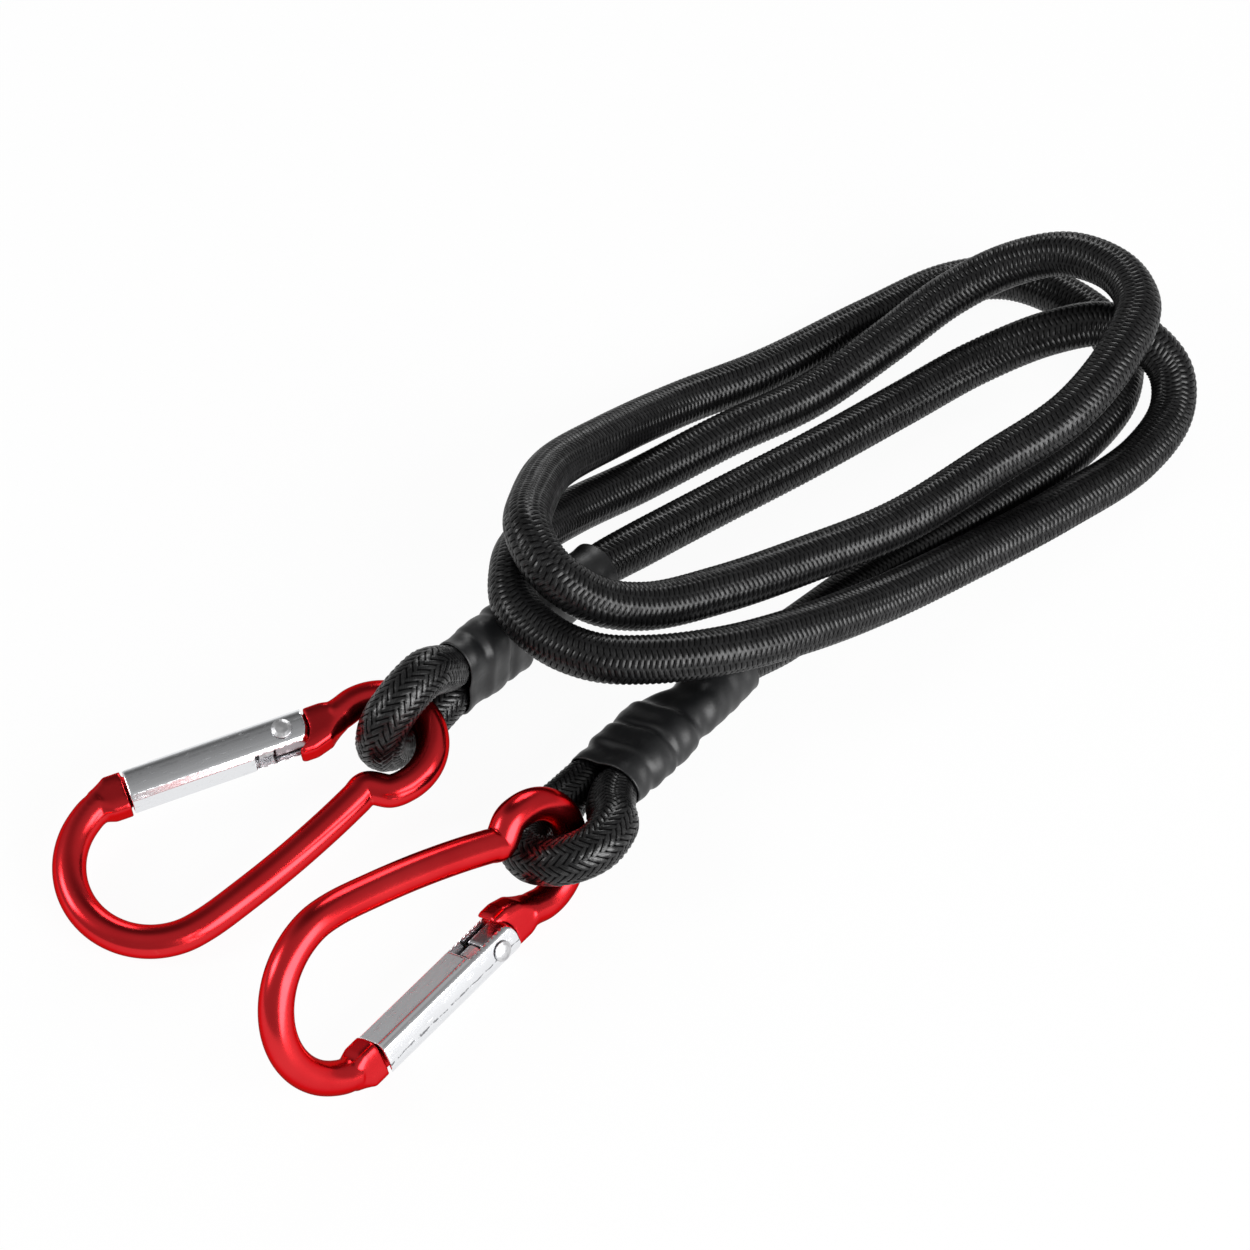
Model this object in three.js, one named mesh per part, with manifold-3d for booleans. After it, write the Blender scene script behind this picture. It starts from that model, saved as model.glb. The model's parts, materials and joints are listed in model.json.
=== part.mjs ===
// Bungee cord in a loose hank, with a small pear-shaped carabiner looped into each end.
// Millimetres, +Z up, lying on the plane z = 0, origin under the middle of its box.
import * as THREE from 'three';
import { mergeVertices } from 'three/addons/utils/BufferGeometryUtils.js';
import Module from 'manifold-3d';

const wasm = await Module();
wasm.setup();

// Clearances
const SEAT_GAP = 0.3; // between pieces that seat on each other
const SLIDE_GAP = 0.4; // between pieces that slide or turn past each other
const STRAND_GAP = 0.4; // between the cord and what is shrunk over it
const PAST = 1; // how far a cut or a joined end runs past its mark

// Cord
const CORD_RADIUS = 3.75;
const MOUTH_RADIUS = 2.9; // squeezed where both strands enter a sleeve
const CRIMPED_RADIUS = 2.45; // squeezed inside the crimp rings
const SHRUNK_RADIUS = 3.6; // held by the far end of the sleeve
const COVER_WALL = 1.1;
const CORD_SIDES = 8;
const CORE_SIDES = 6;
const STEPS_PER_POINT = 2; // steps between neighbouring points of the route
const FLAT_DEPTH = 0.75; // the cover is flattened this much where it lies on the ground
const GROUND_REACH = 200; // half the side of the block that flattens it
const LOW = CORD_RADIUS - FLAT_DEPTH; // height of the middle of a cord that lies on the ground

// Crimp rings and end sleeve, measured along the sleeve from its mouth
const STRAND_OFFSET = 2.8; // of each crimped strand from the sleeve's axis
const MOUTH_OFFSET = 3.2; // of each strand at the mouth
const CRIMP_PLACES = [8, 13.5];
const CRIMP_LENGTH = 3;
const CRIMP_WALL = 0.6;
const TAIL_END = 16.5;
const SLEEVE_START = 1.6;
const SLEEVE_WALL = 0.5;
const SLEEVE_SIDES = 16;

// Carabiner body: x along the spine, y towards the gate, from the centre of the big bend
const ROD_RADIUS = 2.5;
const ROD_SIDES = 16;
const ROD_STEPS = 48;
const BEND_RADIUS = 12.6; // of the rod's middle line round the big bend
const SPINE_LENGTH = 31.4; // from the big bend to the pinch
const SPINE_RISE = 3.1; // how far the spine leans in by the time it reaches the pinch
const EYE_RADIUS = 7.9; // of the rod's middle line round the eye
const EYE_X = 37.2;
const EYE_Y = -4.9;
const EYE_START = 246; // angle where the rod joins the eye after the pinch, in degrees
const EYE_STOP = 460;
const BEND_START = 105; // angle of the big bend's nose end
const BLOCK_LENGTH = 2.6; // pressed flat block at each end of the rod
const BLOCK_THICKNESS = 4.6;
const BLOCK_FLARE = 2.8; // over which a block eases into the round rod
const BLOCK_SIDES = 28;
const BLOCK_SQUARENESS = 5; // 2 is an ellipse, more is squarer
const NECK_INSET = 0.15; // how far a block's neck sinks into the rod
const NECK_STEPS = [[0, BLOCK_SQUARENESS], [0.25, 4], [0.6, 2.6], [1, 2]]; // share of the flare, squareness
const NECK_CURVE = 0.75; // under 1 the neck draws in soon after the block
const NOSE_LIP = 0.6; // how far the nose block stands in past the gate
const NOSE_NECK = -0.65; // height of the rod's middle line behind the nose block, from the gate's line
const HINGE_NECK = 0.4; // and behind the hinge block
const NOSE_TONGUE_LENGTH = 3.6;

// Gate: x along the gate towards the eye, y outward, from the middle of the rivet
const RIVET_X = 26.5;
const RIVET_Y = 4.85;
const GATE_TILT = -0.292; // of the gate to the spine, in radians
const GATE_REACH = 24.3; // rivet to the nose end
const GATE_HEEL = 3.6; // rivet to the hinge end
const GATE_HEIGHT = 5.8; // in the carabiner's plane
const GATE_THICKNESS = 5.6;
const GATE_WALL = 0.6;
const GATE_BEND = 1.6; // rounding of its outer corners
const GATE_FOLD = 0.8; // bevel of its inner corners
const LEAST_CORNER = 0.2; // left of a corner inside the gate
const CORNER_STEPS = 5;
const TURNED_SIDES = 32; // of the cuts round the rivet
const PIN_SIDES = 16;
const WINDOW_REACH = 5.2; // the inner wall is cut away from the hinge end to this far past the rivet
const CAM_REACH = 1.9; // rivet to the flat end of the hinge tongue
const TONGUE_EASE = 0.6; // how far the tongue's round corner stays inside the gate's crown
const CLAW_DEPTH = 4.4; // rivet to the inner edge of the claw
const CLAW_REACH = 1.4; // rivet to the claw's tip, under the gate's heel
const CLAW_TIP = 0.7; // rounding of the claw's tip
const CLAW_TIP_STEP = 0.3; // share of the rounding where its outline turns
const CLAW_RISE = 0.8; // how far its inner edge rises along the block

// Rivet, plunger and spring inside the gate
const RIVET_RADIUS = 0.95;
const RIVET_HEAD_RADIUS = 1.6;
const RIVET_HEAD_HEIGHT = 0.55;
const PLUNGER_HEAD = 2.2;
const PLUNGER_STUB = 3;
const SPRING_WIRE_RADIUS = 0.2;
const SPRING_RADIUS = 1.5;
const SPRING_LENGTH = 10;
const SPRING_CURLS = 7;
const CURL_STEPS = 8;
const CURL_SIDES = 5;
const SEAT_THICKNESS = 0.7; // tab pressed across the gate behind the spring

// Where each end lies: the sleeve from its mouth towards a point, how far its standing strand is turned up
// from the right-hand side, and where that strand leaves it; then the carabiner's place and angles in degrees
const ENDS = {
  a: {
    sleeve: { mouth: [-32.5, -12.6, 8.9], aim: [-9.9, 14, 4.9], turn: 90, length: 35, exitOffset: 0 },
    carabiner: { place: [-74.4, -43.4, 5.4], yaw: 37.3, pitch: 7.9, roll: 10 },
  },
  b: {
    sleeve: { mouth: [-9.5, -30.2, 6.2], aim: [10.7, -5.3, 4.5], turn: 24, length: 32, exitOffset: 1.2 },
    carabiner: { place: [-44.3, -72.8, 15.35], yaw: 43.8, pitch: -15.4, roll: 245.1 },
  },
};

// The cord's points between the sleeves, and round each eye
const LOOP_A = [
  [-35, -15.2, 5], [-38.2, -18.4, 4.1], [-40.9, -22.3, 5.9], [-42, -24.8, 9.9], [-41.1, -24.6, 14.3],
  [-38.2, -21.6, 17.4], [-35.3, -17.7, 17.5], [-33.7, -15, 15.1],
];
const HANK = [
  // first run, inside the hank, then up over the fifth bend
  [-3, 20, 4], [10, 30, LOW], [24.5, 40, LOW], [40, 51, 3.5], [52.5, 58, 6], [64.5, 60.5, 10.5], [73.5, 61, 12],
  // first bend, outermost on the right
  [79.5, 58, 11.5], [84, 54, 8], [84, 48.5, 4.5], [78, 39.5, LOW],
  // second run, nearest the front, over the sixth run and both sleeves
  [64, 27.5, 3.8], [49, 16, 5.5], [34, 4.5, 8.3], [21, -5.5, 13], [9, -12, 16], [-2, -14.5, 17],
  // second bend, on the left
  [-10, -14.5, 17.6], [-17, -11, 17.8], [-22, -5, 18.5], [-22.5, 2, 18.4], [-20.5, 13.5, 12.4],
  // third run
  [-14, 24.5, 6.5], [-3, 34.5, 3.2], [11, 44.5, LOW], [25, 53, 3.4], [37.5, 61.5, 7], [48.5, 68, 12],
  // third bend, on top of everything on the right
  [58.5, 71, 16], [67.5, 70, 19.2], [75, 64.5, 20.4], [77.5, 56.5, 20.6], [74, 47.5, 19.6],
  // fourth run
  [65.5, 37, 16.5], [52.5, 29, 12.6], [37.5, 18, 11.4], [23, 9.5, 12.4], [9, 1, 15], [-2.5, -4.5, 17.5],
  // fourth bend, on top on the left
  [-10.5, -6, 21], [-17, -3.5, 25.2], [-20, 2.5, 26.5], [-19.5, 13.5, 22], [-16.5, 25.5, 16],
  // fifth run, farthest back
  [-8.5, 37, 10.4], [3.5, 50, 4.6], [18.5, 59.5, LOW], [35.5, 71, LOW], [49.5, 79.5, LOW], [59.5, 81, LOW],
  [68, 77, LOW],
  // fifth bend, under the others on the right
  [75, 69.5, LOW], [77, 61, LOW], [75, 52, LOW],
  // sixth run, under the second
  [66.5, 40.5, LOW], [52.5, 28.5, LOW], [33, 13.6, LOW], [18.5, 0, 4],
];
const LOOP_B = [
  [-7.6, -36.6, 9], [-7.2, -40.8, 10.8], [-9.7, -45.2, 11.4], [-14.2, -47, 10.8], [-18.8, -45.6, 9.3],
  [-20.5, -41.5, 7.5], [-19.1, -36.9, 6.2], [-15.6, -33.6, 5.8],
];

// Strands in a sleeve: distance from the mouth, offset from the axis, radius
const TAIL_STRAND = [
  [0.5, MOUTH_OFFSET, MOUTH_RADIUS],
  [3, STRAND_OFFSET + 0.25, CRIMPED_RADIUS + 0.2],
  [5.5, STRAND_OFFSET, CRIMPED_RADIUS],
  [11, STRAND_OFFSET, CRIMPED_RADIUS],
  [TAIL_END, STRAND_OFFSET, CRIMPED_RADIUS],
];

function standingStrand({ length, exitOffset }) {
  return [
    ...TAIL_STRAND,
    [TAIL_END + 5, 1.9 + 0.6 * exitOffset, 3],
    [TAIL_END + 10, 0.3 + exitOffset, SHRUNK_RADIUS],
    [length + 1, exitOffset, SHRUNK_RADIUS],
  ];
}

const PAINT = {
  red: new THREE.MeshStandardMaterial({ color: 0xb3121a, roughness: 0.28, metalness: 0.9 }),
  silver: new THREE.MeshStandardMaterial({ color: 0xc9cbcd, roughness: 0.25, metalness: 1 }),
  steel: new THREE.MeshStandardMaterial({ color: 0x8c8f92, roughness: 0.4, metalness: 1 }),
  braid: new THREE.MeshStandardMaterial({ color: 0x1b1b1c, roughness: 0.75, metalness: 0 }),
  rubber: new THREE.MeshStandardMaterial({ color: 0x3a342c, roughness: 0.9, metalness: 0 }),
  sleeve: new THREE.MeshStandardMaterial({ color: 0x26282a, roughness: 0.55, metalness: 0 }),
};

function piece(name, geometry, material) {
  const mesh = new THREE.Mesh(geometry, material);
  mesh.name = name;
  return mesh;
}

// Booleans

function solid(geometry) {
  const bare = geometry.clone();
  bare.deleteAttribute('normal');
  bare.deleteAttribute('uv');
  const merged = mergeVertices(bare, 1e-4);
  return new wasm.Manifold(new wasm.Mesh({
    numProp: 3,
    vertProperties: new Float32Array(merged.attributes.position.array),
    triVerts: new Uint32Array(merged.index.array),
  }));
}

function geometryOf(manifold) {
  const mesh = manifold.getMesh();
  const geometry = new THREE.BufferGeometry();
  geometry.setAttribute('position', new THREE.BufferAttribute(mesh.vertProperties, 3));
  geometry.setIndex(new THREE.BufferAttribute(mesh.triVerts, 1));
  geometry.computeVertexNormals();
  return geometry;
}

function block(x0, x1, y0, y1, z0, z1) {
  const geometry = new THREE.BoxGeometry(x1 - x0, y1 - y0, z1 - z0);
  return geometry.translate((x0 + x1) / 2, (y0 + y1) / 2, (z0 + z1) / 2);
}

// A closed mesh from rings of points, ring after ring; inner rings, if given, line a bore.
function loft(outerRings, innerRings = null) {
  const sides = outerRings[0].length;
  const last = outerRings.length - 1;
  const rings = innerRings ? [...outerRings, ...innerRings] : outerRings;
  const position = rings.flat().flatMap((p) => [p.x, p.y, p.z]);
  const index = [];
  const at = (ring, k) => ring * sides + (k % sides);
  const quad = (a, b, c, d) => index.push(a, b, c, a, c, d);
  const bore = last + 1;
  for (let k = 0; k < sides; k++) {
    for (let i = 0; i < last; i++) {
      quad(at(i, k), at(i, k + 1), at(i + 1, k + 1), at(i + 1, k));
      if (innerRings) {
        quad(at(bore + i, k + 1), at(bore + i, k), at(bore + i + 1, k), at(bore + i + 1, k + 1));
      }
    }
    if (innerRings) {
      quad(at(0, k + 1), at(0, k), at(bore, k), at(bore, k + 1));
      quad(at(last, k), at(last, k + 1), at(bore + last, k + 1), at(bore + last, k));
    } else if (k > 0 && k < sides - 1) {
      index.push(at(0, 0), at(0, k + 1), at(0, k));
      index.push(at(last, 0), at(last, k), at(last, k + 1));
    }
  }
  const geometry = new THREE.BufferGeometry();
  geometry.setAttribute('position', new THREE.Float32BufferAttribute(position, 3));
  geometry.setIndex(index);
  geometry.computeVertexNormals();
  return geometry;
}

// Rings round a path, each frame carried on from the one before without twist.
function ringsAlong(path, radii, sides) {
  const tangents = path.map((p, i) => {
    const before = path[Math.max(i - 1, 0)];
    const after = path[Math.min(i + 1, path.length - 1)];
    return after.clone().sub(before).normalize();
  });
  const normal = new THREE.Vector3(0, 0, 1).cross(tangents[0]).normalize();
  return path.map((p, i) => {
    normal.addScaledVector(tangents[i], -normal.dot(tangents[i])).normalize();
    const side = tangents[i].clone().cross(normal);
    return Array.from({ length: sides }, (_, k) => {
      const angle = (2 * Math.PI * k) / sides;
      return p.clone()
        .addScaledVector(normal, radii[i] * Math.cos(angle))
        .addScaledVector(side, radii[i] * Math.sin(angle));
    });
  });
}

// Cord

function sleeveFrame({ mouth, aim, turn }) {
  const start = new THREE.Vector3(...mouth);
  const along = new THREE.Vector3(...aim).sub(start).normalize();
  const right = along.clone().cross(new THREE.Vector3(0, 0, 1)).normalize();
  const standing = right.applyAxisAngle(along, -THREE.MathUtils.degToRad(turn));
  return new THREE.Matrix4().makeBasis(standing, along.clone().cross(standing), along).setPosition(start);
}

function strandPoints(sleeve, strand, side) {
  const frame = sleeveFrame(sleeve);
  return strand.map(([along, offset, radius]) => ({
    at: new THREE.Vector3(side * offset, 0, along).applyMatrix4(frame),
    radius,
  }));
}

function freePoints(points) {
  return points.map((p) => ({ at: new THREE.Vector3(...p), radius: CORD_RADIUS }));
}

function cordRoute() {
  const [a, b] = [ENDS.a.sleeve, ENDS.b.sleeve];
  return [
    ...strandPoints(a, TAIL_STRAND, -1).reverse(),
    ...freePoints(LOOP_A),
    ...strandPoints(a, standingStrand(a), 1),
    ...freePoints(HANK),
    ...strandPoints(b, standingStrand(b), 1).reverse(),
    ...freePoints(LOOP_B),
    ...strandPoints(b, TAIL_STRAND, -1),
  ];
}

function sampleRoute(route, stepsPerPoint) {
  const curve = new THREE.CatmullRomCurve3(route.map((p) => p.at), false, 'centripetal');
  const count = (route.length - 1) * stepsPerPoint;
  const path = curve.getPoints(count);
  const radii = path.map((_, i) => {
    const place = i / stepsPerPoint;
    const near = Math.min(Math.floor(place), route.length - 2);
    return THREE.MathUtils.lerp(route[near].radius, route[near + 1].radius, place - near);
  });
  return { path, radii };
}

// Least gap of the cord to itself, between points more than three diameters apart along it.
function leastSelfGap({ path, radii }) {
  const along = [0];
  for (let i = 1; i < path.length; i++) along.push(along[i - 1] + path[i].distanceTo(path[i - 1]));
  let least = Infinity;
  for (let i = 0; i < path.length; i++) {
    for (let j = i + 1; j < path.length; j++) {
      if (along[j] - along[i] < 6 * CORD_RADIUS) continue;
      least = Math.min(least, path[i].distanceTo(path[j]) - radii[i] - radii[j]);
    }
  }
  return { least, length: along[along.length - 1] };
}

function makeCord() {
  const route = cordRoute();
  const { path, radii } = sampleRoute(route, STEPS_PER_POINT);
  const { least, length } = leastSelfGap(sampleRoute(route, 4 * STEPS_PER_POINT));
  console.log(`cord: ${length.toFixed(0)} mm long, least gap to itself ${least.toFixed(2)} mm`);
  const bores = radii.map((r) => r - COVER_WALL);
  const cores = bores.map((r) => r * Math.cos(Math.PI / CORD_SIDES) - SEAT_GAP);
  const cover = loft(ringsAlong(path, radii, CORD_SIDES), ringsAlong(path, bores, CORD_SIDES));
  const ground = block(-GROUND_REACH, GROUND_REACH, -GROUND_REACH, GROUND_REACH, -GROUND_REACH, 0);
  return [
    piece('cord_cover', geometryOf(solid(cover).subtract(solid(ground))), PAINT.braid),
    piece('cord_core', loft(ringsAlong(path, cores, CORE_SIDES)), PAINT.rubber),
  ];
}

// Crimp rings and sleeves

// Stadium outline about (centre, 0), as wide and high as given, at a height z
function stadium(centre, halfWidth, halfHeight, sides, z) {
  return Array.from({ length: sides }, (_, k) => {
    const angle = (2 * Math.PI * (k + 0.5)) / sides;
    const straight = Math.sign(Math.cos(angle)) * Math.max(halfWidth - halfHeight, 0);
    return new THREE.Vector3(
      centre + straight + halfHeight * Math.cos(angle), halfHeight * Math.sin(angle), z,
    );
  });
}

function strandAt(strand, along) {
  const next = strand.findIndex((row) => row[0] >= along);
  if (next <= 0) return strand[next < 0 ? strand.length - 1 : 0].slice(1);
  const [low, high] = [strand[next - 1], strand[next]];
  const share = (along - low[0]) / (high[0] - low[0]);
  return [1, 2].map((i) => THREE.MathUtils.lerp(low[i], high[i], share));
}

// Inside of a sleeve at a station: round both strands, their crimp rings, or the standing strand alone
function sleeveSection(sleeve, { along, overCrimp, single }) {
  const [offset, radius] = strandAt(standingStrand(sleeve), along);
  const [tailOffset, tailRadius] = strandAt(TAIL_STRAND, along);
  const room = STRAND_GAP + (overCrimp ? CRIMP_WALL + SEAT_GAP : 0);
  const high = offset + radius + room;
  const low = single ? sleeve.exitOffset - SHRUNK_RADIUS - room : -(tailOffset + tailRadius + room);
  return { centre: (high + low) / 2, halfWidth: (high - low) / 2, halfHeight: radius + room };
}

function makeSleeve(name) {
  const { sleeve } = ENDS[name];
  const ridge = CRIMP_LENGTH / 2 + SLIDE_GAP;
  const ridges = CRIMP_PLACES.flatMap((place) => [
    { along: place - ridge, overCrimp: true },
    { along: place + ridge, overCrimp: true },
  ]);
  const between = (CRIMP_PLACES[0] + CRIMP_PLACES[1]) / 2;
  const alone = standingStrand(sleeve).slice(TAIL_STRAND.length, -1);
  const stations = [
    { along: SLEEVE_START },
    { along: CRIMP_PLACES[0] - 2 * ridge },
    ...ridges.slice(0, 2),
    { along: between },
    ...ridges.slice(2),
    { along: TAIL_END + 2 * SLIDE_GAP },
    ...alone.map(([along]) => ({ along, single: true })),
    { along: sleeve.length, single: true },
  ];
  const rings = (extra) => stations.map((station) => {
    const { centre, halfWidth, halfHeight } = sleeveSection(sleeve, station);
    return stadium(centre, halfWidth + extra, halfHeight + extra, SLEEVE_SIDES, station.along);
  });
  return piece(`end_sleeve_${name}`, loft(rings(SLEEVE_WALL), rings(0)), PAINT.sleeve);
}

function makeCrimpRing(name, number, place) {
  const halfHeight = CRIMPED_RADIUS + SEAT_GAP;
  const halfWidth = STRAND_OFFSET + halfHeight;
  const start = place - CRIMP_LENGTH / 2;
  const rings = (extra) => [start, start + CRIMP_LENGTH].map(
    (z) => stadium(0, halfWidth + extra, halfHeight + extra, SLEEVE_SIDES, z),
  );
  return piece(`crimp_ring_${name}_${number}`, loft(rings(CRIMP_WALL), rings(0)), PAINT.steel);
}

function makeEnd(name) {
  const group = new THREE.Group();
  group.applyMatrix4(sleeveFrame(ENDS[name].sleeve));
  group.add(makeSleeve(name));
  CRIMP_PLACES.forEach((place, i) => group.add(makeCrimpRing(name, i + 1, place)));
  return group;
}

// Carabiner

const CAVITY_HEIGHT = GATE_HEIGHT - 2 * GATE_WALL;
const CAVITY_THICKNESS = GATE_THICKNESS - 2 * GATE_WALL;
const SHOULDER = GATE_HEEL + SLIDE_GAP;
const NOSE_FACE = -(GATE_REACH + SEAT_GAP);
const gateFrame = new THREE.Matrix4().makeRotationZ(GATE_TILT).setPosition(RIVET_X, RIVET_Y, 0);

function inGate(x, y) {
  return new THREE.Vector3(x, y, 0).applyMatrix4(gateFrame);
}

// The rod's middle line: nose block, big bend, spine, pinch, eye, hinge block
function rodLine() {
  const arc = (x, y, radius, from, to, count) => Array.from({ length: count }, (_, i) => {
    const angle = THREE.MathUtils.degToRad(from + ((to - from) * i) / (count - 1));
    return new THREE.Vector3(x + radius * Math.cos(angle), y + radius * Math.sin(angle), 0);
  });
  const spine = (share) => new THREE.Vector3(
    SPINE_LENGTH * share, -BEND_RADIUS + SPINE_RISE * share * share, 0,
  );
  return new THREE.CatmullRomCurve3([
    inGate(NOSE_FACE - BLOCK_LENGTH - BLOCK_FLARE / 2, NOSE_NECK),
    ...arc(0, 0, BEND_RADIUS, BEND_START, 270, 10),
    ...[0.25, 0.5, 0.75, 0.93, 1].map(spine),
    ...arc(EYE_X, EYE_Y, EYE_RADIUS, EYE_START, EYE_STOP, 14),
    inGate(SHOULDER + BLOCK_LENGTH + BLOCK_FLARE / 2, HINGE_NECK),
  ], false, 'centripetal');
}

// Block pressed on the end of the rod: sections along the gate's line, from its tip to the round rod
function pressedBlock(sections, way) {
  const ring = ({ x, inner, outer, depth = BLOCK_THICKNESS, squareness = BLOCK_SQUARENESS }) => {
    const bulge = (v) => Math.sign(v) * Math.abs(v) ** (2 / squareness);
    return Array.from({ length: BLOCK_SIDES }, (_, k) => {
      const angle = (2 * Math.PI * (k + 0.5)) / BLOCK_SIDES;
      const y = (outer + inner) / 2 + ((outer - inner) / 2) * bulge(Math.cos(angle));
      return new THREE.Vector3(x, y, (way * depth * bulge(Math.sin(angle))) / 2);
    });
  };
  return solid(loft(sections.map(ring)));
}

// The last sections of a block, where it eases into the rod behind it
function neckSections(back, way, inner, outer, neck) {
  const round = ROD_RADIUS - NECK_INSET;
  return NECK_STEPS.map(([share, squareness]) => ({
    x: back + way * share * BLOCK_FLARE,
    inner: THREE.MathUtils.lerp(inner, neck - round, share ** NECK_CURVE),
    outer: THREE.MathUtils.lerp(outer, neck + round, share ** NECK_CURVE),
    depth: THREE.MathUtils.lerp(BLOCK_THICKNESS, 2 * round, share),
    squareness,
  }));
}

function makeNoseBlock() {
  const outer = GATE_HEIGHT / 2;
  const inner = -outer - NOSE_LIP;
  return pressedBlock([
    { x: NOSE_FACE, inner, outer },
    ...neckSections(NOSE_FACE - BLOCK_LENGTH, -1, inner, outer, NOSE_NECK),
  ], -1);
}

// Hinge block, whose inner side runs out in a claw that curls under the gate's rounded heel
function makeHingeBlock() {
  const outer = GATE_HEIGHT / 2;
  const blank = pressedBlock([
    { x: CLAW_REACH, inner: -CLAW_DEPTH + CLAW_TIP, outer },
    { x: CLAW_REACH + CLAW_TIP_STEP * CLAW_TIP, inner: -CLAW_DEPTH + CLAW_TIP_STEP * CLAW_TIP, outer },
    { x: CLAW_REACH + CLAW_TIP, inner: -CLAW_DEPTH, outer },
    { x: SHOULDER, inner: -CLAW_DEPTH, outer },
    ...neckSections(SHOULDER + BLOCK_LENGTH, 1, -CLAW_DEPTH + CLAW_RISE, outer, HINGE_NECK),
  ], 1);
  const outside = block(CLAW_REACH - PAST, SHOULDER, -PAST, outer + PAST, -GATE_THICKNESS, GATE_THICKNESS);
  return blank.subtract(solid(crossPin(SHOULDER, TURNED_SIDES))).subtract(solid(outside));
}

// Tongue of the hinge end inside the gate, its outer corner rounded so that it clears the gate as it opens
function makeHingeTongue() {
  const corner = solid(block(-CAM_REACH - PAST, 0, 0, GATE_HEIGHT, -GATE_THICKNESS, GATE_THICKNESS))
    .subtract(solid(crossPin(CAVITY_HEIGHT / 2 - TONGUE_EASE, TURNED_SIDES)));
  return solid(gateBar(GATE_WALL + SLIDE_GAP, -CAM_REACH, SHOULDER + PAST)).subtract(corner);
}

function makeBody(name) {
  const section = new THREE.Shape().absarc(0, 0, ROD_RADIUS, 0, 2 * Math.PI);
  const rod = solid(new THREE.ExtrudeGeometry(section, {
    steps: ROD_STEPS, extrudePath: rodLine(), curveSegments: ROD_SIDES / 2,
  }));
  const noseTongue = gateBar(GATE_WALL + SLIDE_GAP, NOSE_FACE - PAST, NOSE_FACE + NOSE_TONGUE_LENGTH);
  const ends = [
    makeNoseBlock(),
    solid(noseTongue),
    makeHingeBlock(),
    makeHingeTongue(),
  ];
  const pinHole = solid(crossPin(RIVET_RADIUS + SEAT_GAP, PIN_SIDES));
  const fitting = ends.reduce((joined, end) => joined.add(end)).subtract(pinHole);
  const body = rod.add(solid(geometryOf(fitting).applyMatrix4(gateFrame)));
  return piece(`carabiner_body_${name}`, geometryOf(body), PAINT.red);
}

// Round bar through the rivet's place, across the carabiner's plane
function crossPin(radius, sides) {
  return new THREE.CylinderGeometry(radius, radius, 2 * GATE_THICKNESS, sides).rotateX(Math.PI / 2);
}

// Outline of the gate across its length: well rounded outside, folded in inside; drawn as (y, z)
function gateOutline(inset) {
  const half = GATE_THICKNESS / 2 - inset;
  const inner = -GATE_HEIGHT / 2 + inset;
  const bend = Math.max(GATE_BEND - inset, LEAST_CORNER);
  const fold = Math.max(GATE_FOLD - inset, LEAST_CORNER);
  const crown = GATE_HEIGHT / 2 - inset - bend;
  return new THREE.Shape()
    .moveTo(inner + fold, -half)
    .lineTo(crown, -half)
    .absarc(crown, -half + bend, bend, -Math.PI / 2, 0)
    .absarc(crown, half - bend, bend, 0, Math.PI / 2)
    .lineTo(inner + fold, half)
    .lineTo(inner, half - fold)
    .lineTo(inner, -half + fold);
}

// An outline drawn as (y, z), drawn out along the gate
function barOf(outline, from, to, curveSegments) {
  const bar = new THREE.ExtrudeGeometry(outline, { depth: to - from, bevelEnabled: false, curveSegments });
  const turn = new THREE.Matrix4().makeBasis(
    new THREE.Vector3(0, 1, 0), new THREE.Vector3(0, 0, 1), new THREE.Vector3(1, 0, 0),
  );
  return bar.applyMatrix4(turn.setPosition(from, 0, 0));
}

function gateBar(inset, from, to) {
  return barOf(gateOutline(inset), from, to, CORNER_STEPS);
}

const PLUNGER_FACE = -(CAM_REACH + SEAT_GAP);
const SPRING_START = PLUNGER_FACE - PLUNGER_HEAD - SEAT_GAP;
const SPRING_SEAT = SPRING_START - SPRING_LENGTH - SEAT_GAP;

function makeGate(name) {
  const half = CAVITY_THICKNESS / 2;
  const noseSlot = NOSE_TONGUE_LENGTH + SLIDE_GAP;
  const heelCorner = solid(block(0, GATE_HEEL + PAST, -GATE_HEIGHT, 0, -GATE_THICKNESS, GATE_THICKNESS))
    .subtract(solid(crossPin(GATE_HEEL, TURNED_SIDES)));
  const gate = solid(gateBar(0, -GATE_REACH, GATE_HEEL))
    .subtract(solid(gateBar(GATE_WALL, SPRING_SEAT, GATE_HEEL + PAST)))
    .subtract(solid(gateBar(GATE_WALL, -GATE_REACH - PAST, SPRING_SEAT - SEAT_THICKNESS)))
    .subtract(solid(block(-WINDOW_REACH, GATE_HEEL + PAST, -GATE_HEIGHT, 0, -half, half)))
    .subtract(solid(block(-GATE_REACH - PAST, -GATE_REACH + noseSlot, 0, GATE_HEIGHT, -half, half)))
    .subtract(heelCorner)
    .subtract(solid(crossPin(RIVET_RADIUS + SEAT_GAP, PIN_SIDES)));
  return piece(`gate_${name}`, geometryOf(gate), PAINT.silver);
}

function makeRivet(name) {
  const under = GATE_THICKNESS / 2 + SEAT_GAP;
  const top = under + RIVET_HEAD_HEIGHT;
  const rim = under + RIVET_HEAD_HEIGHT / 3;
  const half = [[RIVET_RADIUS, under], [RIVET_HEAD_RADIUS, under], [RIVET_HEAD_RADIUS, rim],
    [RIVET_HEAD_RADIUS * 0.6, top - 0.1], [0, top]];
  const profile = [...half.map(([r, z]) => [r, -z]).reverse(), ...half];
  const lathe = new THREE.LatheGeometry(profile.map(([r, z]) => new THREE.Vector2(r, z)), PIN_SIDES);
  return piece(`rivet_${name}`, lathe.rotateX(Math.PI / 2), PAINT.silver);
}

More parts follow.
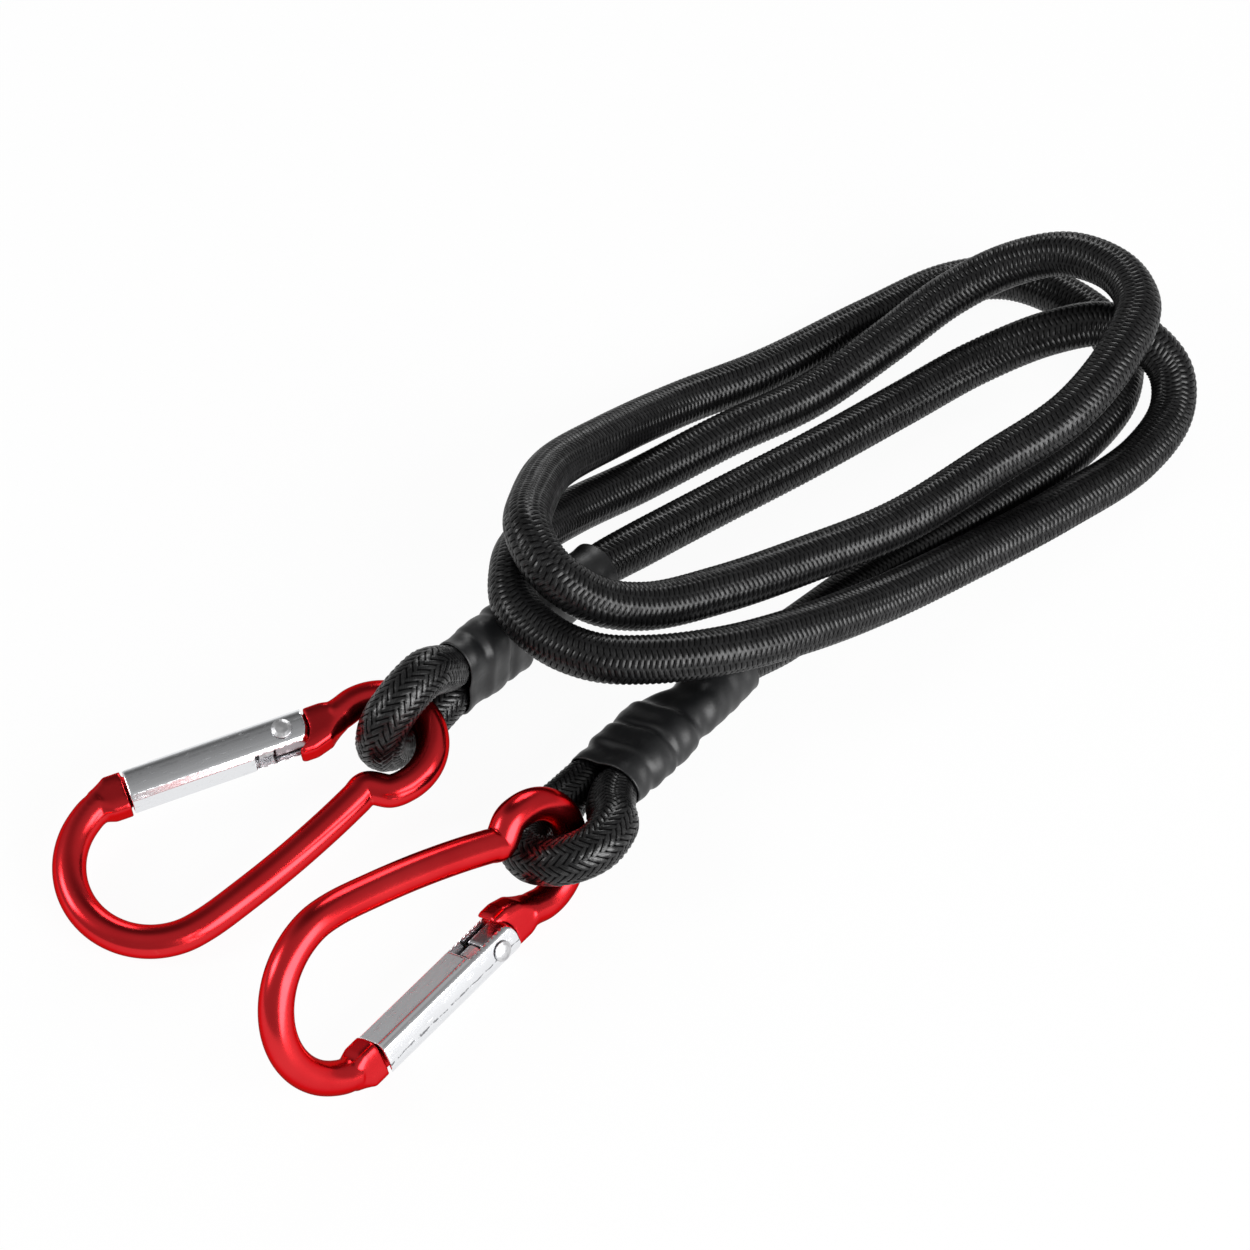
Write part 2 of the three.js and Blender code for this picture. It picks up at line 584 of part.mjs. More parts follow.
function makePlunger(name) {
  const head = Math.min(CAVITY_HEIGHT, CAVITY_THICKNESS) / 2 - SEAT_GAP;
  const stub = SPRING_RADIUS - SPRING_WIRE_RADIUS - SEAT_GAP;
  const back = PLUNGER_FACE - PLUNGER_HEAD;
  const profile = [[0, back - PLUNGER_STUB], [stub, back - PLUNGER_STUB], [stub, back], [head, back],
    [head, PLUNGER_FACE], [0, PLUNGER_FACE]];
  const lathe = new THREE.LatheGeometry(profile.map(([r, x]) => new THREE.Vector2(r, x)), 14);
  return piece(`plunger_${name}`, lathe.rotateZ(-Math.PI / 2), PAINT.steel);
}

function makeSpring(name) {
  const steps = SPRING_CURLS * CURL_STEPS;
  const travel = SPRING_LENGTH - 2 * SPRING_WIRE_RADIUS;
  const path = Array.from({ length: steps + 1 }, (_, i) => {
    const angle = (2 * Math.PI * i) / CURL_STEPS;
    const x = SPRING_START - SPRING_WIRE_RADIUS - (travel * i) / steps;
    return new THREE.Vector3(x, SPRING_RADIUS * Math.cos(angle), SPRING_RADIUS * Math.sin(angle));
  });
  const radii = path.map(() => SPRING_WIRE_RADIUS);
  return piece(`gate_spring_${name}`, loft(ringsAlong(path, radii, CURL_SIDES)), PAINT.steel);
}

function makeCarabiner(name) {
  const { place, yaw, pitch, roll } = ENDS[name].carabiner;
  const [x, y, z] = [roll, -pitch, yaw].map(THREE.MathUtils.degToRad);
  const gateGroup = new THREE.Group();
  gateGroup.applyMatrix4(gateFrame);
  gateGroup.add(makeGate(name), makeRivet(name), makePlunger(name), makeSpring(name));
  const carabiner = new THREE.Group();
  carabiner.position.set(...place);
  carabiner.rotation.set(x, y, z, 'ZYX');
  carabiner.add(makeBody(name), gateGroup);
  return carabiner;
}

const bungee = new THREE.Group();
bungee.name = 'bungee_cord';
bungee.add(...makeCord());
for (const name of Object.keys(ENDS)) bungee.add(makeEnd(name), makeCarabiner(name));

export default bungee;
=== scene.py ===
"""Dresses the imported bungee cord.

It is a braided elastic cord in a loose hank, with sleeved end loops and two red snap hooks.
"""

from __future__ import annotations

import json
import logging
import math
from dataclasses import dataclass
from enum import Enum
from typing import ClassVar, Sequence

import bpy
import numpy as np
from mathutils import Matrix, Vector
from mathutils.kdtree import KDTree

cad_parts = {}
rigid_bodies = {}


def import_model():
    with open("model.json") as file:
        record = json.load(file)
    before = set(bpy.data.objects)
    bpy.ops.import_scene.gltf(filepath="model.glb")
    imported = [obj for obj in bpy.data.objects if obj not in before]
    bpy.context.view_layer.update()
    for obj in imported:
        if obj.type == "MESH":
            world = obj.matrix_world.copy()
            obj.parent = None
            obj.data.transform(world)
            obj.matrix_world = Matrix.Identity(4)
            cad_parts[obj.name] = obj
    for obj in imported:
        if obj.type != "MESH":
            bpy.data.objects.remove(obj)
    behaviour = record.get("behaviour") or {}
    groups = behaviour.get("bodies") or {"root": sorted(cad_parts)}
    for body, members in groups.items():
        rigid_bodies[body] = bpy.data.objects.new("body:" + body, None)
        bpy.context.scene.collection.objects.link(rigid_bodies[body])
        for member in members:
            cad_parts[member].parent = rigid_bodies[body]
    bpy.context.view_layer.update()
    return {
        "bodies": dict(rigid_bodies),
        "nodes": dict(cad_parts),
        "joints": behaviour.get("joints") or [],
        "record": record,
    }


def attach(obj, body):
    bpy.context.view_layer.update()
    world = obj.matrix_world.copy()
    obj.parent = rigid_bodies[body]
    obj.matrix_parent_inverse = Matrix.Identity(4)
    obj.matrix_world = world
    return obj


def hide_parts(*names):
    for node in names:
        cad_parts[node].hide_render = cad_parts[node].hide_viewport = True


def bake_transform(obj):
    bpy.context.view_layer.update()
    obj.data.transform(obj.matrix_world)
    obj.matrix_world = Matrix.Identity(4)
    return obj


LOG = logging.getLogger("bungee_cord")
MM = 0.001
ENLARGED = 1000.0  # meshes are this much larger while they are skinned, because fine skins need it
Pair = tuple[float, float]
Point = tuple[float, float, float]
Colour = tuple[float, float, float, float]
WHITE: Colour = (1.0, 1.0, 1.0, 1.0)

# The yarns of the braid, in shares of a row
YARN_DIVE = 1.3  # how soon a yarn dives under the next row
YARN_TAPER = 0.5  # how much it narrows towards its ends
YARN_FLATNESS = 3.0  # 2 is round, more is flatter


class End(Enum):
    """The two ends of the cord."""

    A = "a"
    B = "b"


class Strand(Enum):
    """The two strands in a sleeve, by the side of its axis that each lies on."""

    STANDING = 1
    TAIL = -1


# Shader values


class Value:
    """A socket in a node tree that Python's operators work on."""

    def __init__(self, bench: Bench, socket: bpy.types.NodeSocket) -> None:
        """Holds the socket and the bench it belongs to.

        Args:
            bench: The bench that adds nodes to the same tree.
            socket: The output socket that carries the value.
        """
        self.bench = bench
        self.socket = socket

    def _math(self, operation: str, *operands: Value | float) -> Value:
        """Adds one Math node.

        Args:
            operation: Blender's name of the operation.
            operands: The operands in order.

        Returns:
            The node's result.
        """
        return self.bench.node("ShaderNodeMath", {"operation": operation}, dict(enumerate(operands)))

    def __add__(self, other: Value | float) -> Value:
        """Returns self + other."""
        return self._math("ADD", self, other)

    def __radd__(self, other: float) -> Value:
        """Returns other + self."""
        return self._math("ADD", other, self)

    def __sub__(self, other: Value | float) -> Value:
        """Returns self - other."""
        return self._math("SUBTRACT", self, other)

    def __rsub__(self, other: float) -> Value:
        """Returns other - self."""
        return self._math("SUBTRACT", other, self)

    def __mul__(self, other: Value | float) -> Value:
        """Returns self * other."""
        return self._math("MULTIPLY", self, other)

    def __rmul__(self, other: float) -> Value:
        """Returns other * self."""
        return self._math("MULTIPLY", other, self)

    def __pow__(self, power: Value | float) -> Value:
        """Returns self ** power."""
        return self._math("POWER", self, power)

    def __abs__(self) -> Value:
        """Returns the size of self without its sign."""
        return self._math("ABSOLUTE", self)

    def __mod__(self, other: float) -> Value:
        """Returns self modulo other, never negative."""
        return self._math("FLOORED_MODULO", self, other)

    def floor(self) -> Value:
        """Returns the whole number at or below self."""
        return self._math("FLOOR", self)

    def larger(self, other: Value | float) -> Value:
        """Returns the larger of self and other."""
        return self._math("MAXIMUM", self, other)

    def sine(self) -> Value:
        """Returns the sine of self, in radians."""
        return self._math("SINE", self)

    def between(self, low: float, high: float) -> Value:
        """Maps self from low..high to 0..1 with soft ends.

        Args:
            low: The value that gives 0.
            high: The value that gives 1.

        Returns:
            The mapped value, held to 0..1.
        """
        settings = {"interpolation_type": "SMOOTHSTEP"}
        return self.bench.node("ShaderNodeMapRange", settings, {"Value": self, 1: low, 2: high})


class Bench:
    """Adds nodes to one material's or world's tree."""

    def __init__(self, tree: bpy.types.NodeTree) -> None:
        """Clears the tree.

        Args:
            tree: The tree to fill.
        """
        self.tree = tree
        tree.nodes.clear()

    def node(
        self,
        kind: str,
        settings: dict[str, object] | None = None,
        inputs: dict[str | int, object] | None = None,
        output: str | int = 0,
    ) -> Value:
        """Adds a node, sets it up and links it.

        Args:
            kind: Blender's name of the node's type.
            settings: Properties set first; "stops" holds a colour ramp's places and colours.
            inputs: Values or links of its sockets, by name or number.
            output: The output to hand back, by name or number.

        Returns:
            The chosen output.
        """
        made = self.tree.nodes.new(kind)
        for name, setting in (settings or {}).items():
            if name == "stops":
                self._set_stops(made.color_ramp, setting)
            else:
                setattr(made, name, setting)
        for name, given in (inputs or {}).items():
            if isinstance(given, Value):
                self.tree.links.new(given.socket, made.inputs[name])
            else:
                made.inputs[name].default_value = given
        return Value(self, made.outputs[output])

    @staticmethod
    def _set_stops(ramp: bpy.types.ColorRamp, stops: Sequence[tuple[float, Colour]]) -> None:
        """Gives a colour ramp its stops.

        Args:
            ramp: The ramp to change.
            stops: Places from 0 to 1, each with its colour.
        """
        while len(ramp.elements) < len(stops):
            ramp.elements.new(1.0)
        for element, (place, colour) in zip(ramp.elements, stops):
            element.position = place
            element.color = colour

    def show(self, kind: str, surface: Value) -> None:
        """Ends the tree with its output node.

        Args:
            kind: Blender's name of the output node's type.
            surface: The shader to show.
        """
        output = self.tree.nodes.new(kind)
        self.tree.links.new(surface.socket, output.inputs["Surface"])

    def blend(self, share: Value, first: Colour | Value, second: Colour | Value) -> Value:
        """Mixes two colours.

        Args:
            share: 0 gives the first colour and 1 the second.
            first: The first colour.
            second: The second colour.

        Returns:
            The mixed colour.
        """
        inputs = {"Factor": share, 6: first, 7: second}
        return self.node("ShaderNodeMix", {"data_type": "RGBA"}, inputs, 2)

    def principled(self, sockets: dict[str, object]) -> Value:
        """Returns a Principled shader with these values or links of its sockets."""
        return self.node("ShaderNodeBsdfPrincipled", None, sockets)

    def lay(self, name: str, axis: int) -> Value:
        """Returns one axis, 0 or 1, of a UV map."""
        place = self.node("ShaderNodeUVMap", {"uv_map": name})
        return self.node("ShaderNodeSeparateXYZ", None, {0: place}, axis)

    def place(self) -> Value:
        """Returns the point on the surface, in metres in the part's frame."""
        return self.node("ShaderNodeTexCoord", output="Object")

    def noise(self, place: Value, scale: float, detail: float = 3.0, rough: float = 0.5) -> Value:
        """Adds a noise texture.

        Args:
            place: Where to read it.
            scale: Cells in a unit of place.
            detail: Octaves.
            rough: How much the fine octaves count.

        Returns:
            Values about 0.5.
        """
        inputs = {"Vector": place, "Scale": scale, "Detail": detail, "Roughness": rough}
        return self.node("ShaderNodeTexNoise", None, inputs, "Fac")

    def dot(self, place: Value, axis: Sequence[float]) -> Value:
        """Measures a place along an axis.

        Args:
            place: The place.
            axis: The axis, of length 1.

        Returns:
            The distance along it.
        """
        inputs = {0: place, 1: tuple(axis)}
        return self.node("ShaderNodeVectorMath", {"operation": "DOT_PRODUCT"}, inputs, "Value")

    def vector(self, x: Value | float, y: Value | float, z: Value | float) -> Value:
        """Returns a vector of three values."""
        return self.node("ShaderNodeCombineXYZ", None, {0: x, 1: y, 2: z})

    def bump(self, height: Value, distance: float, strength: float = 1.0) -> Value:
        """Turns a height into a normal.

        Args:
            height: The height, 0 to 1.
            distance: What a height of 1 stands for, in metres.
            strength: How much of it shows.

        Returns:
            The normal.
        """
        inputs = {"Height": height, "Distance": distance, "Strength": strength}
        return self.node("ShaderNodeBump", None, inputs)


@dataclass(frozen=True)
class Finish:
    """A surface finish, made into a material by its own recipe."""

    name: str

    def shader(self, bench: Bench) -> Value:
        """Builds the finish's surface.

        Args:
            bench: The bench of the material's tree.

        Returns:
            The shader.
        """
        raise NotImplementedError

    def material(self) -> bpy.types.Material:
        """Makes a material with this finish.

        Returns:
            The material.
        """
        material = bpy.data.materials.new(self.name)
        material.use_nodes = True
        bench = Bench(material.node_tree)
        bench.show("ShaderNodeOutputMaterial", self.shader(bench))
        return material


@dataclass(frozen=True)
class BraidFinish(Finish):
    """Black braided yarn: ribs across the cord that lean one way and then the other in rows along it."""

    # Painted shade: the near-black colour that the gaps between yarns take, where shade falls; the colour
    # after it is the yarn's own.
    gap_painted_shade: Colour = (0.0006, 0.0006, 0.0007, 1.0)
    yarn: Colour = (0.0045, 0.0045, 0.0048, 1.0)
    fuzz_scale: float = 2600.0
    worn_scale: float = 60.0
    filament_phase: float = 25.1  # radians in a rib, for about four filaments
    crest_edge: Pair = (0.1, 0.75)  # heights where the sheen of a yarn starts and is full
    sheen_roughness: float = 0.3
    height: float = 0.00016

    def shader(self, bench: Bench) -> Value:
        """Builds the braid from the cord's own lay, which counts ribs along it and rows round it.

        Args:
            bench: The bench of the material's tree.

        Returns:
            The shader.
        """
        ribs = bench.lay(CordCover.LAY, 0)
        row = bench.lay(CordCover.LAY, 1)
        lean = bench.lay(CordCover.SLANT, 0)
        edge = (row + 0.5).floor()
        floats = [yarn_float(ribs, row, lean, edge - 1.0), yarn_float(ribs, row, lean, edge)]
        stand = floats[0][0].larger(floats[1][0])
        which = bench.vector(floats[0][1].floor(), floats[1][1].floor(), edge)
        settings = {"noise_dimensions": "3D"}
        chance = bench.node("ShaderNodeTexWhiteNoise", settings, {"Vector": which}, "Value")
        place = bench.place()
        fuzz = bench.noise(place, self.fuzz_scale)
        filament = 0.5 + 0.5 * (floats[0][1] * self.filament_phase + fuzz * 3.0).sine()
        worn = bench.noise(place, self.worn_scale, detail=4.0)
        # crest is how high a yarn stands: it sets the coat's sheen, and below it the base colour goes to
        # the painted shade of the gaps.
        crest = (stand.larger(0.0) ** (1.0 + 0.4 * lean)).between(*self.crest_edge)
        shine = crest * (0.6 + 0.5 * chance) * (0.75 + 0.5 * worn) * (0.6 + 0.55 * filament)
        relief = 0.3 * stand + 0.15 * filament + 0.1 * fuzz
        return bench.principled(
            {
                # Base Color is painted shade in the gaps between yarns and the yarn's own colour on its
                # crown; chance, worn and filament vary that tone at random.
                "Base Color": bench.blend(shine, self.gap_painted_shade, self.yarn),
                "Roughness": 0.95 - 0.2 * shine + 0.05 * filament,
                "Specular IOR Level": 0.05,
                "Coat Weight": shine * (0.7 + 0.35 * lean),
                "Coat Roughness": self.sheen_roughness,
                "Normal": bench.bump(relief, self.height, strength=0.8),
            },
        )


@dataclass(frozen=True)
class SleeveFinish(Finish):
    """Shrunk black plastic: matte charcoal with a soft sheen, a fine skin and a few rubbed places."""

    dark: Colour = (0.003, 0.0032, 0.0036, 1.0)
    rubbed: Colour = (0.01, 0.0105, 0.0113, 1.0)
    skin_scale: float = 3200.0
    cloud_scale: float = 140.0
    rub_scale: float = 420.0
    crease_scale: float = 240.0
    height: float = 0.00012

    def shader(self, bench: Bench) -> Value:
        """Builds the plastic skin.

        Args:
            bench: The bench of the material's tree.

        Returns:
            The shader.
        """
        place = bench.place()
        skin = bench.noise(place, self.skin_scale, detail=2.0)
        cloud = bench.noise(place, self.cloud_scale, detail=5.0, rough=0.6)
        rub = bench.noise(place, self.rub_scale, detail=4.0, rough=0.65).between(0.52, 0.72)
        crease = bench.noise(place, self.crease_scale)
        return bench.principled(
            {
                "Base Color": bench.blend(cloud * 0.7 + rub * 0.3, self.dark, self.rubbed),
                "Roughness": 0.36 + 0.14 * cloud + 0.1 * rub,
                "Specular IOR Level": 0.45,
                "Normal": bench.bump(skin * 0.12 + crease, self.height, strength=0.7),
            },
        )


@dataclass(frozen=True)
class AnodisedFinish(Finish):
    """Dyed and sealed aluminium: deep red polished metal, faintly cloudy, with a fine grain and rubs."""

    deep: Colour = (0.6, 0.012, 0.018, 1.0)
    bright: Colour = (0.76, 0.038, 0.043, 1.0)
    rubbed: Colour = (0.8, 0.14, 0.11, 1.0)
    edge: Colour = (0.3, 0.02, 0.025, 1.0)
    bare: Colour = (0.5, 0.5, 0.52, 1.0)
    rivet: Point = (0.0, 0.0, 0.0)
    tongue: Pair = (0.0031, 0.0037)  # from the rivet, where the dye starts
    cloud_scale: float = 90.0
    grain_scale: float = 1800.0
    rub_scale: float = 650.0
    height: float = 0.00003

    def shader(self, bench: Bench) -> Value:
        """Builds the dyed metal.

        Args:
            bench: The bench of the material's tree.

        Returns:
            The shader.
        """
        place = bench.place()
        cloud = bench.noise(place, self.cloud_scale, detail=4.0, rough=0.55)
        grain = bench.noise(place, self.grain_scale, detail=3.0, rough=0.6)
        rub = bench.noise(place, self.rub_scale, detail=5.0, rough=0.7).between(0.62, 0.78)
        dyed = bench.blend(rub * 0.25, bench.blend(cloud, self.deep, self.bright), self.rubbed)
        ends = {0: place, 1: self.rivet}
        away = bench.node("ShaderNodeVectorMath", {"operation": "DISTANCE"}, ends, "Value")
        return bench.principled(
            {
                "Base Color": bench.blend(away.between(*self.tongue), self.bare, dyed),
                "Metallic": 1.0,
                "Specular Tint": self.edge,
                "Roughness": 0.17 + 0.06 * cloud + 0.06 * rub + 0.04 * grain,
                "Coat Weight": 0.04,
                "Coat Roughness": 0.1,
                "Normal": bench.bump(grain * 0.4 + cloud * 0.6, self.height, strength=0.12),
            },
        )


@dataclass(frozen=True)
class GateFinish(Finish):
    """Bare drawn aluminium: bright, with lines along the gate, short scratches and a broken scuff."""

    along: Point = (1.0, 0.0, 0.0)
    across: Point = (0.0, 1.0, 0.0)
    bright: Colour = (0.82, 0.83, 0.85, 1.0)
    dull: Colour = (0.52, 0.53, 0.55, 1.0)
    grime: Colour = (0.09, 0.09, 0.1, 1.0)
    line_scale: Pair = (60.0, 2600.0)  # along the gate and across it
    nick_scale: Pair = (420.0, 1500.0)
    break_scale: Pair = (700.0, 300.0)
    cloud_scale: float = 160.0
    height: float = 0.00002
    scuff: float = 0.0  # where the scuff line lies across the gate, in metres
    scuffed: float = 0.0  # how dark it is
    scuff_wander: float = 0.0012
    scuff_edge: Pair = (0.00006, 0.00016)

    @staticmethod
    def _streaks(
        bench: Bench, lie: Sequence[Value], scale: Pair, detail: float, rough: float
    ) -> Value:
        """Adds noise that is drawn out along the gate.

        Args:
            bench: The bench of the material's tree.
            lie: The place along, across and through the gate.
            scale: Cells in a metre along the gate and across it.
            detail: Octaves.
            rough: How much the fine octaves count.

        Returns:
            Values about 0.5.
        """
        along, across, through = lie
        drawn = bench.vector(along * scale[0], across * scale[1], through * scale[1])
        return bench.noise(drawn, 1.0, detail, rough)

    def shader(self, bench: Bench) -> Value:
        """Builds the drawn metal.

        Args:
            bench: The bench of the material's tree.

        Returns:
            The shader.
        """
        place = bench.place()
        through = Vector(self.along).cross(Vector(self.across))
        lie = [bench.dot(place, axis) for axis in (self.along, self.across, through)]
        lines = self._streaks(bench, lie, self.line_scale, detail=3.0, rough=0.6)
        nick = self._streaks(bench, lie, self.nick_scale, detail=4.0, rough=0.7)
        scratch = nick.between(0.58, 0.7)
        cloud = bench.noise(place, self.cloud_scale)
        astray = abs(lie[1] + (nick - 0.5) * self.scuff_wander - self.scuff)
        broken = self._streaks(bench, lie, self.break_scale, detail=3.0, rough=0.6)
        worn = (1.0 - astray.between(*self.scuff_edge)) * broken.between(0.42, 0.5)
        metal = bench.blend(scratch * 0.5 + lines * 0.15, self.bright, self.dull)
        return bench.principled(
            {
                "Base Color": bench.blend(worn * self.scuffed, metal, self.grime),
                "Metallic": 1.0,
                "Roughness": 0.12 + 0.1 * lines + 0.22 * scratch + 0.06 * cloud,
                "Normal": bench.bump(lines * 0.5 - scratch * 0.6, self.height, strength=0.45),
            },
        )


@dataclass(frozen=True)
class SteelFinish(Finish):
    """Plain steel: grey, with a cloudy dull film."""

    clean: Colour = (0.62, 0.62, 0.63, 1.0)
    film: Colour = (0.3, 0.3, 0.31, 1.0)
    rough: float = 0.28
    film_scale: float = 700.0
    grain_scale: float = 4200.0
    height: float = 0.00002

    def shader(self, bench: Bench) -> Value:
        """Builds the steel.

        Args:
            bench: The bench of the material's tree.

        Returns:
            The shader.
        """
        place = bench.place()
        film = bench.noise(place, self.film_scale, detail=4.0, rough=0.6)
        grain = bench.noise(place, self.grain_scale, detail=2.0)
        return bench.principled(
            {
                "Base Color": bench.blend(film.between(0.35, 0.75), self.clean, self.film),
                "Metallic": 1.0,
                "Roughness": self.rough + 0.18 * film + 0.06 * grain,
                "Normal": bench.bump(grain, self.height, strength=0.4),
            },
        )


@dataclass(frozen=True)
class RubberFinish(Finish):
    """Raw rubber of the cord's core: dull tan with a floury bloom."""

    raw: Colour = (0.3, 0.22, 0.13, 1.0)
    bloom: Colour = (0.55, 0.48, 0.38, 1.0)
    bloom_scale: float = 500.0
    height: float = 0.0001

    def shader(self, bench: Bench) -> Value:
        """Builds the rubber.

        Args:
            bench: The bench of the material's tree.

        Returns:
            The shader.
        """
        bloom = bench.noise(bench.place(), self.bloom_scale, detail=4.0, rough=0.6)
        return bench.principled(
            {
                "Base Color": bench.blend(bloom, self.raw, self.bloom),
                "Roughness": 0.75 + 0.2 * bloom,
                "Normal": bench.bump(bloom, self.height, strength=0.4),
            },
        )


@dataclass(frozen=True)
class FloorFinish(Finish):
    """White studio floor that stays white to the camera and keeps a soft shadow."""

    white: Colour = (0.86, 0.86, 0.86, 1.0)
    kept: float = 0.95  # share of plain white that the camera sees

    def shader(self, bench: Bench) -> Value:
        """Builds the floor, lit for the camera and for reflections.

        Args:
            bench: The bench of the material's tree.

        Returns:
            The shader.
        """
        paint = bench.node("ShaderNodeBsdfDiffuse", None, {"Color": self.white})
        glow = bench.node("ShaderNodeEmission", None, {"Color": WHITE, "Strength": 1.0})
        share = seen_directly(bench) * self.kept
        return bench.node("ShaderNodeMixShader", None, {0: share, 1: paint, 2: glow})


def yarn_float(
    ribs: Value | np.ndarray, row: Value | np.ndarray, lean: Value | np.ndarray, which: Value | np.ndarray
) -> tuple[Value | np.ndarray, Value | np.ndarray]:
    """Shapes the yarns of one row of the braid, which lean one way in a row and the other way in the next.

    It works on numbers for the mesh and on sockets for the material, so both have one braid.

    Args:
        ribs: Ribs so far along the cord.
        row: Rows so far round it.
        lean: How many ribs a yarn leans across a row.
        which: The row whose yarns are shaped.

    Returns:
        How high those yarns stand, at most 1, and the count of yarns along the row.
    """
    odd = which % 2.0
    off = row - which - 0.5
    count = ribs + (1.0 - 2.0 * odd) * lean * off + 0.5 * odd
    reach = abs(off * YARN_DIVE)
    narrow = 1.0 + YARN_TAPER * reach ** 2.0
    crown = 1.0 - (abs(2.0 * (count % 1.0) - 1.0) * narrow) ** YARN_FLATNESS
    dive = 1.0 - reach ** YARN_FLATNESS
    return 0.5 * (crown + abs(crown)) * dive, count


def seen_directly(bench: Bench) -> Value:
    """Tells camera rays and those that metal and glass send on from the rest.

    Args:
        bench: The bench to add to.

    Returns:
        1 for those rays and 0 for others.
    """
    kinds = ("Camera", "Glossy", "Transmission")
    rays = [bench.node("ShaderNodeLightPath", output=f"Is {kind} Ray") for kind in kinds]
    return rays[0].larger(rays[1]).larger(rays[2])


# Shapes


def smooth_curve(points: Sequence[Point], steps: int) -> np.ndarray:
    """Runs a smooth curve through points, evenly paced by the root of their distances.

    Args:
        points: The points.
        steps: Steps between neighbours.

    Returns:
        The curve's points, the given ones among them.
    """
    given = np.asarray(points, float)
    padded = np.vstack([2 * given[0] - given[1], given, 2 * given[-1] - given[-2]])
    share = np.linspace(0.0, 1.0, steps, endpoint=False)[:, None]
    stretches = []
    for i in range(1, len(padded) - 2):
        p0, p1, p2, p3 = padded[i - 1 : i + 3]
        d0, d1, d2 = (math.sqrt(float(np.linalg.norm(b - a))) for a, b in ((p0, p1), (p1, p2), (p2, p3)))
        start = d1 * ((p1 - p0) / d0 - (p2 - p0) / (d0 + d1) + (p2 - p1) / d1)
        finish = d1 * ((p2 - p1) / d1 - (p3 - p1) / (d1 + d2) + (p3 - p2) / d2)
        cubic = 2 * p1 - 2 * p2 + start + finish
        square = 3 * p2 - 3 * p1 - 2 * start - finish
        stretches.append(p1 + start * share + square * share**2 + cubic * share**3)
    return np.vstack([*stretches, given[-1:]])


def eased(share: np.ndarray) -> np.ndarray:
    """Returns shares from 0 to 1 with soft ends."""
    return share * share * (3.0 - 2.0 * share)


def directions(path: np.ndarray) -> np.ndarray:
    """Returns the unit vectors along a path, at its points."""
    tangents = np.gradient(path, axis=0)
    return tangents / np.linalg.norm(tangents, axis=1)[:, None]


def carried_frames(path: np.ndarray) -> tuple[np.ndarray, np.ndarray]:
    """Carries a frame along a path without twist.

    Args:
        path: The path's points.

    Returns:
        Two unit vectors across the path at each point.
    """
    tangents = directions(path)
    normal = np.cross((0.0, 0.0, 1.0), tangents[0])
    normals = np.empty_like(path)
    for i, tangent in enumerate(tangents):
        normal = normal - tangent * float(normal @ tangent)
        normal /= np.linalg.norm(normal)
        normals[i] = normal
    return normals, np.cross(tangents, normals)


def sweep(path: np.ndarray, reach: np.ndarray | float, angle: np.ndarray) -> np.ndarray:
    """Sweeps rings of points along a path.

    Args:
        path: The path's points.
        reach: How far each point stands from the path.
        angle: Each point's angle round the path, in radians.

    Returns:
        The points, by ring and side.
    """
    normals, sides = carried_frames(path)
    level = (reach * np.cos(angle))[..., None] * normals[:, None, :]
    return path[:, None, :] + level + (reach * np.sin(angle))[..., None] * sides[:, None, :]


def ring_faces(rings: int, sides: int) -> list[tuple[int, int, int, int]]:
    """Lists the quads between rings of points.

    Args:
        rings: How many rings.
        sides: Points in a ring.

    Returns:
        The quads, wound outward.
    """
    ring = np.arange(rings - 1)[:, None] * sides
    side = np.arange(sides)[None, :]
    after = (side + 1) % sides
    quads = np.stack([ring + side, ring + after, ring + sides + after, ring + sides + side], axis=-1)
    return quads.reshape(-1, 4).tolist()


def tube_faces(rings: int, sides: int) -> list[Sequence[int]]:
    """Lists the faces of a tube with closed ends.

    Args:
        rings: How many rings.
        sides: Points in a ring.

    Returns:
        The quads between rings, then both ends.
    """
    last = (rings - 1) * sides
    return [*ring_faces(rings, sides), range(sides - 1, -1, -1), range(last, last + sides)]


def new_piece(name: str, points: np.ndarray, faces: Sequence[Sequence[int]]) -> bpy.types.Object:
    """Makes a smooth-shaded piece.

    Args:
        name: The piece's name.
        points: Its points, in metres.
        faces: Its faces.

    Returns:
        The piece, in the scene.
    """
    mesh = bpy.data.meshes.new(name)
    mesh.from_pydata(points.tolist(), [], faces)
    mesh.shade_smooth()
    piece = bpy.data.objects.new(name, mesh)
    bpy.context.scene.collection.objects.link(piece)
    return piece


def dress(piece: bpy.types.Object, material: bpy.types.Material) -> None:
    """Gives a piece one material all over.

    Args:
        piece: The piece.
        material: The material.
    """
    piece.data.materials.clear()
    piece.data.materials.append(material)


def settle(piece: bpy.types.Object, body: str, node: str, material: bpy.types.Material) -> None:
    """Dresses a piece, has it ride on a body and stand for a solid.

    Args:
        piece: The piece.
        body: The body it rides on.
        node: The solid it stands for.
        material: Its material.
    """
    dress(piece, material)
    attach(piece, body)
    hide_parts(node)
    LOG.info("%s: %d faces", piece.name, len(piece.data.polygons))


